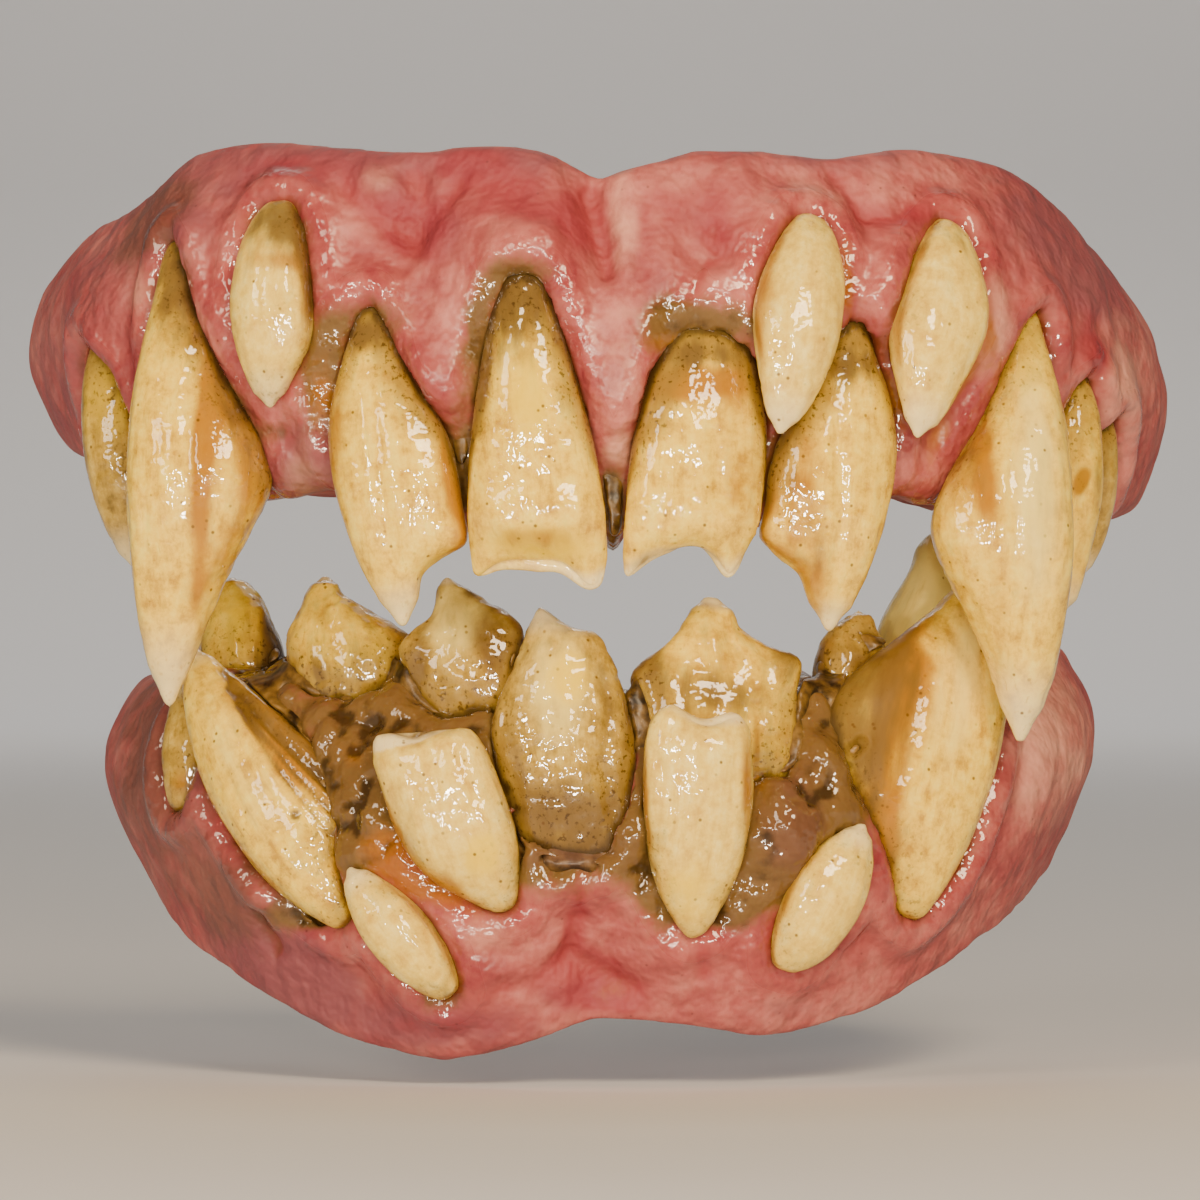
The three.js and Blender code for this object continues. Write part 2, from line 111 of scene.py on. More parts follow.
def strokeGap(across, along, line):  # distance in the front view from a line of (x, z) points
    best = np.full(len(across), 1e9)
    for (x0, z0), (x1, z1) in zip(line, line[1:]):
        dx, dz = x1 - x0, z1 - z0
        t = np.clip(((across - x0) * dx + (along - z0) * dz) / (dx * dx + dz * dz), 0, 1)
        best = np.minimum(best, np.hypot(across - x0 - t * dx, along - z0 - t * dz))
    return best


def solidMesh(node):  # a node's solid in millimetres, with its triangles joined into quads
    work = bmesh.new()
    work.from_mesh(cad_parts[node].data)
    bmesh.ops.scale(work, vec=(1 / metre,) * 3, verts=work.verts)
    bmesh.ops.remove_doubles(work, verts=work.verts, dist=0.01)
    bmesh.ops.join_triangles(work, faces=work.faces, angle_face_threshold=0.6, angle_shape_threshold=0.9)
    mesh = bpy.data.meshes.new(node)
    work.to_mesh(mesh)
    work.free()
    return mesh


def rowsOf(items, name, width, kind=float):  # numbers of a mesh's points or edges, a row for each
    values = np.empty(len(items) * width, kind)
    items.foreach_get(name, values)
    return values.reshape(-1, width)


class Skin:  # a dense mesh under work, with its points in millimetres
    def __init__(self, coarse, voxel, rounds):
        holder = bpy.data.objects.new("holder", coarse)
        bpy.context.scene.collection.objects.link(holder)
        if rounds:
            holder.modifiers.new("rounded", "SUBSURF").levels = rounds
        even = holder.modifiers.new("even", "REMESH")
        even.mode = "VOXEL"
        even.voxel_size = voxel
        ready = holder.evaluated_get(bpy.context.evaluated_depsgraph_get())
        self.mesh = bpy.data.meshes.new_from_object(ready)
        bpy.data.objects.remove(holder)
        bpy.data.meshes.remove(coarse)
        self.points = rowsOf(self.mesh.vertices, "co", 3)
        self.edges = rowsOf(self.mesh.edges, "vertices", 2, np.int32)
        self.ways = np.bincount(self.edges.ravel(), minlength=len(self.points))

    def averaged(self, values, turns):  # each point takes on the mean of its neighbours
        a, b = self.edges.T
        count = len(values)
        for turn in range(turns):
            total = np.bincount(a, values[b], count) + np.bincount(b, values[a], count)
            values = 0.5 * values + 0.5 * total / self.ways
        return values

    def smooth(self, turns):
        for axis in range(3):
            self.points[:, axis] = self.averaged(self.points[:, axis], turns)

    def normals(self):
        self.mesh.vertices.foreach_set("co", self.points.ravel())
        self.mesh.update()
        return rowsOf(self.mesh.vertices, "normal", 3)

    def hollows(self, turns):  # above 0 in dips and below 0 on humps, in millimetres
        mean = np.stack([self.averaged(self.points[:, axis], turns) for axis in range(3)], 1)
        return ((mean - self.points) * self.normals()).sum(1)

    def finish(self, name, material, slot, node=None):  # stains and painted light and shade become numbers at the points
        for kind, values in self.stains.items():
            self.mesh.attributes.new(kind, "FLOAT", "POINT").data.foreach_set("value", values)
        self.mesh.vertices.foreach_set("co", (self.points * metre).ravel())
        self.mesh.polygons.foreach_set("use_smooth", np.ones(len(self.mesh.polygons), bool))
        self.mesh.update()
        self.mesh.name = name
        self.mesh.materials.clear()
        self.mesh.materials.append(material)
        piece = bpy.data.objects.new(name, self.mesh)
        bpy.context.scene.collection.objects.link(piece)
        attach(piece, "root")
        if node:
            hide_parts(node)
        return piece


# camera and light

camera = {"lens": 216.7, "sensor": 36, "place": (0, -428, -9.3)}  # level, straight at the front teeth
lens = bpy.data.cameras.new("frontView")
lens.lens = camera["lens"]
lens.sensor_width = camera["sensor"]
lens.clip_end = 10
eye = bpy.data.objects.new("frontView", lens)
eye.location = [v * metre for v in camera["place"]]
eye.rotation_euler = (math.pi / 2, 0, 0)
bpy.context.scene.collection.objects.link(eye)
bpy.context.scene.camera = eye

studio = {
    "lamps": [  # name, place, aim, size, watts, colour
        ("keyBox", (170, -480, 270), (0, 0, -10), 170, 3.15, "#FFE0B6"),
        ("fillBox", (-360, -420, 160), (0, 0, -10), 160, 1.2, "#FFE6C6"),
        ("backBox", (0, 300, 420), (0, 0, -10), 420, 0.4, "#FFF6EA"),
        ("glint1", (-85, -450, -22), (0, 0, -10), 30, 0.72, "#FFEBD0"),
        ("glint2", (85, -455, -22), (0, 0, -10), 28, 0.6, "#FFEBD0"),
        ("glint3", (10, -445, 12), (0, 0, -10), 26, 0.45, "#FFEBD0"),
        ("glint4", (-238, -448, 0), (0, 0, -10), 32, 0.6, "#FFEBD0"),
        ("wallBox", (0, 1150, 900), (0, 1500, 100), 700, 6.0, "#FFF6EA"),
    ],
    "world": "#EFE7DC",
    "worldStrength": 0.12,
    "paper": "#DDE0E6",
    "paperDrop": 1.4,
    "paperRun": 1360,  # the wall stands well back, so that the teeth can be looked at from behind
    "paperBend": 140,
    "paperTall": 900,
    "paperHalf": 2500,
}
for name, place, aim, size, watts, colour in studio["lamps"]:
    lamp = bpy.data.lights.new(name, "AREA")
    lamp.size = size * metre
    lamp.energy = watts
    lamp.color = linear(colour)[:3]
    stand = bpy.data.objects.new(name, lamp)
    stand.location = [v * metre for v in place]
    look = np.subtract(aim, place)
    flat = math.hypot(look[0], look[1])
    stand.rotation_euler = (math.atan2(flat, -look[2]), 0, math.atan2(-look[0], look[1]))
    bpy.context.scene.collection.objects.link(stand)

world = bpy.data.worlds.new("softRoom")
world.use_nodes = True
backdrop = world.node_tree.nodes["Background"]
backdrop.inputs["Color"].default_value = linear(studio["world"])
backdrop.inputs["Strength"].default_value = studio["worldStrength"]
bpy.context.scene.world = world


def paperSweep():  # a roll of pale paper: flat under the teeth, then curving up behind them
    low = cadBox[0][2] / metre - studio["paperDrop"]
    profile = [(-studio["paperHalf"], low), (studio["paperRun"], low)]
    bend = studio["paperBend"]
    for step in range(1, 13):
        turn = math.pi / 2 * step / 12
        profile.append((studio["paperRun"] + bend * math.sin(turn), low + bend * (1 - math.cos(turn))))
    profile.append((studio["paperRun"] + bend, low + studio["paperTall"]))
    half = studio["paperHalf"]
    points = [(side * half * metre, y * metre, z * metre) for y, z in profile for side in (-1, 1)]
    faces = [(2 * i, 2 * i + 1, 2 * i + 3, 2 * i + 2) for i in range(len(profile) - 1)]
    mesh = bpy.data.meshes.new("paperSweep")
    mesh.from_pydata(points, [], faces)
    mesh.polygons.foreach_set("use_smooth", np.ones(len(faces), bool))
    paper = bpy.data.materials.new("mattPaper")  # uncoated paper: even, no shine
    paper.use_nodes = True
    shader = paper.node_tree.nodes["Principled BSDF"]
    shader.inputs["Base Color"].default_value = linear(studio["paper"])
    shader.inputs["Roughness"].default_value = 0.9
    mesh.materials.append(paper)
    sweep = bpy.data.objects.new("paperSweep", mesh)
    bpy.context.scene.collection.objects.link(sweep)


paperSweep()
print("camera, lamps and paper are up")


# plates: the plan of each arch, for telling out from in

plates = {
    "upper": {"centre": 24.0, "half": (27.4, 24.0), "tip": -1},
    "lower": {"centre": 23.5, "half": (23.3, 21.0), "tip": 1},
}


def outward(points, plate):
    way = np.zeros_like(points)
    way[:, 0] = points[:, 0] / plate["half"][0] ** 2
    way[:, 1] = (points[:, 1] - plate["centre"]) / plate["half"][1] ** 2
    return way / np.linalg.norm(way, axis=1)[:, None]


# teeth

toothWork = {
    "voxel": 0.18, "rounds": 2, "smooth": 5, "stretch": 7,
    "swell": 0.22, "streak": 0.055, "waver": 0.16, "pits": 0.12, "beads": 0.1,
}

# Marks are placed in the front view, in millimetres. Patches are x, z, wide, tall, lean in degrees and
# strength: wet ones are beaded, dull ones worn, scoops cut in, and the others are stains, save that the right
# fang's pale patch is partly painted light. Pulls are x, z, reach and the move along x and z; strokes are a
# line of (x, z), its width, its depth and how brown it is; pits are x, z, wide and deep. Clear is where the
# clear tip begins, neck how stained the foot is, reach how far that goes, sides how much orange and brown the
# sides get, partly stain and partly painted shade, wrap how far marks go round them, calm and rough how even.
teeth = {
    "upper_left_fang": {
        "neck": 0.75,
        "wet": [
            (-19.8, -1.4, 0.5, 1.6, 10, 1), (-22.4, -4.4, 0.9, 1.2, 0, 0.8), (-24.6, -9, 0.5, 3, -3, 0.8),
        ],
        "brown": [(-25, 9, 1.6, 3.4, 0, 1.1), (-21.6, 1.6, 0.8, 2.6, 22, 0.45)],
        "orange": [
            (-23.2, 0.2, 0.75, 4.8, -4, 1.4), (-23.8, -7.2, 0.5, 4, -3, 0.55), (-21.3, -0.6, 1.5, 3, 10, 0.3),
        ],
        "green": [(-24.6, 5.6, 1.6, 1.8, 0, 0.45)],
        "strokes": [([(-24.2, 5), (-24.3, -2), (-24.6, -10.5)], 0.4, 0.14, 0.15)],
    },
    "upper_right_fang": {
        "sides": 0.25, "neck": 0.5, "wet": [(24.2, -12, 0.6, 3.6, 0, 0.8)],
        "brown": [(20.4, -1, 1.2, 2, -20, 0.4), (22.2, -1.6, 0.6, 2.4, 12, 0.35)],
        "orange": [
            (22.8, -2.4, 0.7, 4.4, 4, 0.95), (23.7, -9.5, 0.5, 4.2, 3, 0.4), (21.2, -2.4, 1.2, 2.2, 0, 0.4),
        ],
        # The pale row lightens the fang's right side: partly its paler tone, partly painted light on that
        # side.
        "pale": [(25.8, -2.6, 1.5, 7, 2, 1)], "green": [(25.3, 5.2, 1.4, 2.2, 0, 0.7)],
        "strokes": [([(24.2, 3), (24.3, -4), (24.7, -12)], 0.4, 0.14, 0.1)],
    },
    "upper_left_central": {
        "clear": 0.96, "calm": 0.55, "sides": 1.1, "neck": 1,
        "wet": [(-1.8, -4.3, 1.3, 1.3, 0, 2.2), (-5.4, -4.9, 1.4, 0.7, 0, 1.6)],
        "pulls": [(-7.2, -6.9, 0.8, 0, -0.7), (-0.8, -7.2, 1.5, 0.1, -1.1), (-3.6, -7.2, 1.2, 0, -0.3)],
        "brown": [
            (-4.8, 7.6, 2.4, 3, 10, 1.15), (-7, 3, 0.6, 5, -8, 1), (-1.6, 4.8, 0.4, 2.6, 10, 0.4),
            (-7.6, -4, 0.4, 3, 0, 0.6),
        ],
        "orange": [(-3.6, -5.7, 2.8, 0.9, -4, 0.55), (-6.6, -2, 0.6, 3, 0, 0.3)],
        "green": [(-4.1, 2.3, 1.3, 2.6, 0, 1.1), (-3.6, -6, 2.8, 1, -4, 1.2)],
        "scoops": [(-3.5, -7.6, 3.3, 1.7, -5, 0.8), (-3.6, -4.6, 3.2, 2, 0, -0.6)],
        "strokes": [
            ([(-5.9, 7), (-6.6, 4), (-7, 0.5)], 0.4, 0.22, 0.7), ([(-4.2, 8.6), (-4.6, 5.2)], 0.25, 0.1, 0.6),
            ([(-3.2, 8.2), (-2.6, 5.6)], 0.25, 0.1, 0.6),
        ],
    },
    "upper_right_central": {
        "clear": 0.95, "calm": 0.55, "sides": 1.1, "neck": 1,
        "wet": [(3.2, -4.4, 1.1, 1.8, 20, 2.2), (7, -4.4, 1.4, 1, 0, 1.6)],
        "pulls": [
            (1.7, -6.6, 1, -0.2, -1.1), (5.3, -6.6, 1.2, 0, 0.6), (7.4, -6.9, 0.9, 0, -0.9),
            (8.9, -6.6, 0.8, 0.2, 1),
        ],
        "brown": [(5.8, 4.9, 4, 0.9, 0, 1), (2.9, -7, 1.6, 0.45, 14, 0.5)],
        "orange": [(5.8, 3.3, 4.2, 1.2, 0, 1.3), (8, -1.6, 1.2, 3.2, 0, 0.6), (3.2, 0.8, 0.6, 2.6, 0, 0.35)],
        "scoops": [(5, -7.8, 2.6, 1.5, 4, 0.65), (5.4, -4.6, 3.4, 1.9, 0, -0.6)],
        "strokes": [
            ([(4.4, 1), (4, -2.6), (3.4, -5.6)], 0.5, 0.16, 0.1), ([(6.6, 0.4), (6.9, -3.4)], 0.5, 0.14, 0.1),
        ],
    },
    "upper_left_lateral": {
        "clear": 0.86, "calm": 0.5, "sides": 1.1, "neck": 1, "wet": [(-13.4, 2, 1, 2, 0, 0.5)],
        "pulls": [(-8.6, -5.2, 1, 0.4, -0.5), (-10, -7.9, 1.2, -0.4, 0.2)],
        "brown": [(-13.9, 6.2, 1.8, 1.1, 0, 1), (-15.6, 1.5, 0.4, 2.2, 0, 0.4)],
        "orange": [
            (-15.4, -0.6, 0.7, 4.4, -6, 0.75), (-8.9, -3, 0.6, 3.2, 12, 0.8), (-10.2, 2.6, 0.6, 2.2, 30, 0.5),
        ],
        "strokes": [([(-13.2, 4), (-12.8, -2), (-12, -7)], 0.5, 0.13, 0)],
    },
    "upper_right_lateral": {
        "clear": 0.9, "sides": 1.1, "neck": 1,
        "wet": [(12.4, -4.5, 1.2, 2.6, 0, 0.8), (10.6, -1, 0.7, 1.6, 0, 0.8)],
        "pulls": [(10, -4.8, 1, -0.4, -0.6), (11.6, -7.6, 1.1, 0.3, 0.2)],
        "brown": [
            (14.6, 4.4, 2.2, 1.4, 0, 0.95), (11.2, -0.8, 1, 3.4, -6, 0.75), (12.6, -6, 0.7, 2.4, 8, 0.4),
        ],
        "orange": [(11.8, -3.2, 1.3, 4.6, 0, 0.9), (12.7, -8.6, 0.9, 2, 0, 0.55)],
        "green": [(16.8, 2.6, 0.9, 2.2, 0, 0.9)],
        "strokes": [([(13.9, 1), (14, -4), (13.6, -8.4)], 0.4, 0.2, 0.1)],
    },
    "upper_left_side_tooth": {"kind": "olive", "neck": 0.7, "green": [(-29.3, 3, 1.6, 2.4, 0, 0.9)]},
    "upper_right_side_tooth": {
        "neck": 0.7, "brown": [(29.6, -2, 0.35, 3, 0, 0.6)], "ochre": [(28.8, -2.2, 0.42, 0.95, -24, 1.5)],
    },
    "upper_right_rear_tooth": {"kind": "olive", "neck": 0.8, "brown": [(30.4, -2, 0.4, 3, 0, 0.6)]},
    "upper_left_spur": {
        "kind": "pale", "neck": 0.35, "pulls": [(-17.6, 6.2, 2.4, 0.4, 0)],
        "brown": [(-18.9, 13, 2, 2, 0, 1.2), (-17.2, 8.8, 0.4, 3, 6, 0.9)],
        "orange": [(-19.2, 10.6, 1.8, 0.8, 0, 0.7)], "green": [(-19.4, 3.2, 1.2, 0.9, 0, 0.3)],
    },
    "upper_right_inner_spur": {
        "kind": "pale", "neck": 0.3, "pulls": [(9.4, 8, 2.6, -0.5, 0)],
        "orange": [(9.9, 8.2, 0.5, 2.6, -8, 0.5), (13.7, 7.6, 0.25, 1.2, 0, 0.6)],
    },
    "upper_right_outer_spur": {
        "kind": "pale", "neck": 0.3, "pulls": [(17.4, 6, 2.6, -0.5, 0), (21.6, 7, 2.4, 0.3, 0)],
        "brown": [(20.8, 11.7, 1.3, 1.2, 0, 0.4)],
    },
    "lower_left_spur": {"kind": "pale", "neck": 0.3, "brown": [(-9.4, -32.2, 1.4, 0.5, -30, 0.4)]},
    "lower_right_spur": {"kind": "pale", "neck": 0.35, "wet": [(14.6, -24.4, 0.8, 1.6, -30, 0.8)]},
    "lower_left_front": {
        "clear": 0.99, "wrap": 0.5, "sides": 0.4, "kind": "pale", "neck": 0.45,
        "wet": [(-9.6, -20.6, 2.2, 2.2, 0, 1.5)], "green": [(-6.8, -24, 1, 1.2, 0, 1.4)],
        "brown": [(-10.6, -16.9, 2.6, 0.45, -2, 0.6)],
        "orange": [(-12.4, -22.6, 1, 3, 34, 1.3), (-9.4, -26, 2.4, 0.9, -28, 1.3)],
        "scoops": [(-11, -17.2, 0.8, 0.7, 0, 0.35), (-9.6, -23.6, 2.6, 3, 0, -0.32)],
        "strokes": [([(-8.2, -18.2), (-7.2, -21)], 0.3, 0.16, 0)],
    },
    "lower_right_front": {
        "clear": 0.95, "kind": "pale", "neck": 0.5,
        "wet": [(4.6, -19.2, 1.4, 2.6, 0, 0.9), (8, -18.6, 0.5, 1.2, 0, 0.8)],
        "pulls": [(4.2, -15.6, 0.9, 0, 0.8), (6.2, -15.6, 0.8, 0, -0.3)],
        "green": [(5.3, -26.2, 1.8, 1.6, 0, 0.9)],
        "orange": [(8.5, -20, 0.4, 3.6, 0, 0.8), (2.7, -21, 0.4, 3.6, 0, 0.6)],
        "scoops": [(6.6, -16, 1.4, 0.9, 10, 0.4)],
        "strokes": [
            ([(3.4, -18.4), (4.3, -21.4)], 0.3, 0.14, 0), ([(5.4, -21), (6.6, -24.6)], 0.25, 0.1, 0.05),
        ],
    },
    "lower_left_tusk": {
        "clear": 0.9, "neck": 0.5, "wet": [(-21.8, -13.6, 0.8, 0.9, 0, 1)],
        "pulls": [(-16, -20.4, 2.3, 1.5, 0.1)],
        "orange": [(-18.4, -18.8, 1.2, 5.6, 45, 0.9), (-20.3, -25.5, 0.7, 2.2, 40, 0.3)],
        "pale": [(-20.6, -20, 1.6, 5, 30, 0.5)],
        "strokes": [
            ([(-23, -12.7), (-20.6, -15.4), (-17.8, -17.9), (-15, -20.4)], 0.3, -0.3, 0.4),
            ([(-22.6, -13.6), (-20.4, -16.2), (-17.8, -18.8), (-15.1, -21.4)], 0.28, 0.4, 1.1),
            ([(-22.2, -14.6), (-20.2, -17.2), (-17.8, -19.9), (-15.4, -22.4)], 0.22, 0.3, 0.9),
            ([(-21.6, -15.6), (-19.8, -18.4), (-17.8, -21), (-16, -23.2)], 0.22, 0.22, 0.7),
        ],
        "pits": [(-18, -22, 0.34, 0.14)],
    },
    "lower_right_tusk": {
        "clear": 0.92, "wrap": 0.4, "calm": 0.4, "rough": 0.5, "sides": 0.15, "neck": 0.5,
        "dull": [(15, -16.4, 2.8, 6.4, -14, 2)], "pulls": [(14.6, -16.4, 2.8, -1.1, 0)],
        "brown": [
            (14.2, -16, 2.9, 5.6, -14, 1.1), (16.9, -11.8, 1.8, 3, -34, 0.8), (15.9, -22.6, 0.8, 3, 0, 0.6),
            (17.6, -16.6, 1.3, 4.6, -14, 0.55),
        ],
        "orange": [(17.8, -15.2, 1.7, 6.4, -14, 1.15), (16.6, -23.2, 1.2, 3.4, -4, 1.1)],
        "pale": [(21.6, -13.4, 1.6, 6, -14, 0.8)], "pits": [(15, -18.2, 0.42, 0.5), (15.4, -17.8, 0.4, 0.4)],
        "strokes": [
            ([(20.6, -9), (19, -14), (17.7, -19.6)], 0.6, 0.2, 0.1),
            ([(17.6, -10.6), (16.6, -14.6), (15.9, -19.6)], 0.4, 0.04, 1.2),
            ([(16.4, -11.8), (14.6, -14.8), (13.6, -18)], 0.3, 0.05, 0.9),
        ],
    },
    "lower_centre": {
        "clear": 0.9, "rough": 1.6, "reach": 4.2, "kind": "olive", "neck": 0.9,
        "wet": [(-1.9, -19.4, 1.6, 2.6, 0, 1.3), (0.6, -20, 0.8, 2, 0, 0.8)],
        "pulls": [(-5.6, -16.6, 3.2, -0.9, 0), (-1, -10.4, 1.2, 0.2, -0.5), (-3.6, -10.3, 0.9, 0, 0.4)],
        "brown": [
            (-1.8, -21.8, 3.6, 2.2, 0, 1.2), (-1.4, -24.2, 2, 0.7, 0, 1.4), (1.6, -16, 0.4, 3, -8, 0.7),
            (-5, -18.6, 0.7, 2.6, 12, 0.5),
        ],
        "green": [(-1.9, -13.9, 1.3, 1.6, 0, 1)], "pale": [(-2.6, -14.4, 2, 3.8, 0, 0.75)],
        "strokes": [([(0, -13.4), (0.5, -16), (0.2, -18.6), (0.6, -21.6)], 0.5, 0.26, 0.6)],
    },
    "lower_right_premolar": {
        "clear": 0.92, "rough": 1.6, "reach": 4.2, "neck": 0.8, "wet": [(8.2, -15.2, 1, 1.4, -20, 1.2)],
        "pulls": [
            (9.2, -10.8, 1.6, -0.8, -0.2), (11.2, -13.2, 1.4, 1.2, 0.5), (2.4, -13.8, 1.6, -1.3, 0.3),
            (3.8, -11.4, 1.4, 0.3, 0),
        ],
        "brown": [
            (6, -15, 4.6, 1.4, 0, 0.8), (6.6, -12.2, 2.6, 2.4, 0, 0.32), (10.6, -12.4, 1.2, 1.6, 40, 0.9),
            (3.4, -13.2, 1.4, 1.2, -30, 0.6),
        ],
        "orange": [(7.8, -13.6, 1.4, 2.2, 0, 0.3), (9.2, -18.4, 0.3, 2.2, 0, 0.9)],
        "strokes": [([(6.3, -10), (6.8, -13)], 0.5, -0.2, 0)],
    },
    "lower_left_inner": {
        "clear": 0.95, "rough": 2, "reach": 4.4, "kind": "olive", "neck": 0.9,
        "pulls": [(-5.2, -10.8, 1.6, 0.6, 0.2), (-10.6, -9.6, 1.3, 0.6, -0.2), (-11, -12.4, 1.4, -0.9, 0.2)],
        "brown": [
            (-6.2, -12, 1.4, 2.4, 30, 0.9), (-7.6, -9, 0.6, 0.4, 0, 0.8), (-10.6, -13, 0.8, 2.6, 0, 0.7),
        ],
        "orange": [(-6.4, -13.2, 1.2, 1.6, 0, 0.5)], "pale": [(-8.6, -10.4, 2, 2.6, 0, 0.7)],
    },
    "lower_left_premolar": {
        "clear": 0.92, "rough": 2, "reach": 4.4, "neck": 0.8, "wet": [(-14.6, -15.6, 1.2, 0.8, 0, 1.4)],
        "pulls": [(-14.2, -9.4, 1.6, -1, -0.2), (-11.9, -12.2, 1.5, 0.9, 0.3), (-18, -12, 1.5, -0.4, 0)],
        "brown": [
            (-17, -13.6, 1.8, 0.8, 0, 0.4), (-15, -12.6, 2.4, 2.6, 0, 0.32), (-16.6, -10, 0.9, 1.1, 0, 0.3),
        ],
        "green": [(-13, -13, 1, 1.6, 0, 0.9), (-16, -11.6, 2, 2.4, 0, 0.35)],
    },
    "lower_right_small": {
        "clear": 0.95, "rough": 2, "reach": 4.5, "kind": "olive", "neck": 0.8,
        "wet": [(15.6, -12.6, 0.9, 0.6, 0, 1.2)], "brown": [(15.4, -13, 1.4, 0.9, -20, 0.9)],
    },
    "lower_left_molar": {"kind": "olive", "neck": 0.6, "orange": [(-24.6, -20.4, 1.6, 1, 0, 0.7)]},
    "lower_left_rear": {
        "clear": 0.92, "rough": 1.4, "reach": 5.5, "neck": 0.8, "pulls": [(-18.6, -10, 1.7, -0.9, -0.2)],
        "brown": [(-19.6, -12.8, 1.6, 1.6, 0, 1)], "green": [(-22, -10.6, 1.8, 2, 0, 0.9)],
    },
    "lower_right_rear": {
        "kind": "olive", "neck": 0.15, "sides": 0.2, "wet": [(20.6, -6.4, 1, 1.2, 0, 1)],
        "pulls": [(18, -8.2, 2.4, 1, 0.2)], "green": [(20.8, -5.6, 1, 1.2, 0, 0.5)],
        "pale": [(19.6, -8, 4, 6, 0, 5)],
    },
}
toothMarkKinds = ("brown", "orange", "green", "ochre", "pale")


def toothSkin(node, seed):
    plate = plates[node.split("_")[0]]
    look = teeth[node]
    skin = Skin(solidMesh(node), toothWork["voxel"], toothWork["rounds"])
    skin.smooth(toothWork["smooth"])
    points = skin.points
    height = points[:, 2] * plate["tip"]
    order = np.argsort(height)
    few = max(20, len(order) // 60)
    root, tip = points[order[:few]].mean(0), points[order[-few:]].mean(0)
    axis = (tip - root) / np.linalg.norm(tip - root)
    out = outward(points.mean(0)[None], plate)[0]
    out -= axis * out.dot(axis)
    out /= np.linalg.norm(out)
    local = (points - root) @ np.stack([np.cross(out, axis), out, axis], 1)
    skin.along = np.clip(local[:, 2] / np.linalg.norm(tip - root), 0, 1)
    skin.grain = local / (1, 1, toothWork["stretch"])  # streaks run along the tooth
    normals = skin.normals()
    wrap = look.get("wrap", 0)
    front = ramp(0.05 - wrap, 0.5 - wrap, -normals[:, 1])
    for atX, atZ, reach, moveX, moveZ in look.get("pulls", []):
        near = np.exp(-((points[:, 0] - atX) ** 2 + (points[:, 2] - atZ) ** 2) / reach ** 2)
        points = points + near[:, None] * (moveX, 0, moveZ)
    x, z = points[:, 0], points[:, 2]

    fine = lumps(skin.grain, 0.55, seed) + 0.6 * lumps(skin.grain, 0.3, seed + 40)
    broad = lumps(local / (1, 1, 2.5), 2.2, seed + 80)
    dents = np.minimum(lumps(points, 0.7, seed + 120) + 0.45, 0)
    beads = lumps(points, 1.5, seed + 240) + 0.7 * lumps(points, 0.8, seed + 280)
    beads = beads * spread(x, z, look.get("wet", []))
    beads += 0.4 * look.get("rough", 0) * lumps(points, 0.62, seed + 320)
    lift = look.get("calm", 1) * (toothWork["streak"] * fine + toothWork["waver"] * broad)
    lift = lift + toothWork["beads"] * beads + toothWork["pits"] * look.get("rough", 1) * dents
    lift = (lift + toothWork["swell"]) * ramp(0, 0.06, 1 - skin.along)
    groove = np.zeros(len(points))
    for line, wide, deep, brown in look.get("strokes", []):
        near = np.exp(-(strokeGap(x, z, line) / wide) ** 2)
        lift -= deep * near * front
        groove += brown * near
    for px, pz, wide, deep in look.get("pits", []):
        hole = np.hypot(x - px, z - pz) / wide
        lift += front * deep * (0.12 * np.exp(-((hole - 1.4) / 0.4) ** 2) - np.exp(-hole ** 4))
        groove += 0.9 * np.exp(-hole ** 4)
    lift -= front * spread(x, z, look.get("scoops", []))
    skin.points = points + normals * lift[:, None]
    skin.stains = {kind: spread(x, z, look.get(kind, [])) for kind in toothMarkKinds}
    skin.stains["brown"] = np.maximum(skin.stains["brown"], groove)
    # Sides turned from the front get orange and brown: partly stain between the teeth, partly painted shade
    # that shows as dark outlines.
    edges = look.get("sides", 0.7) * ramp(0.75, 0.15, normals @ out) * ramp(1.0, 0.55, skin.along)
    skin.stains["orange"] += edges
    skin.stains["brown"] += 0.45 * edges
    ragged = 0.5 * lumps(points, 1.2, seed + 160) + 0.5 * lumps(skin.grain, 0.6, seed + 200)
    for kind, value in skin.stains.items():
        skin.stains[kind] = value * (0.25 + 0.75 * front) + 0.4 * ragged * ramp(0.05, 0.6, value)
    skin.stains["dull"] = np.clip(spread(x, z, look.get("dull", [])), 0, 1)
    skin.stains["tip"] = 0.75 * ramp(look.get("clear", 0.8), 1.0, skin.along)
    return skin


skins = {node: toothSkin(node, seed) for seed, node in enumerate(teeth)}
print("teeth:", sum(len(skin.mesh.polygons) for skin in skins.values()), "faces")


# gums

gumWork = {"voxel": 0.31, "smooth": 12, "roll": 0.8, "rollAt": 1.15, "rollWide": 0.75, "seal": 0.9}
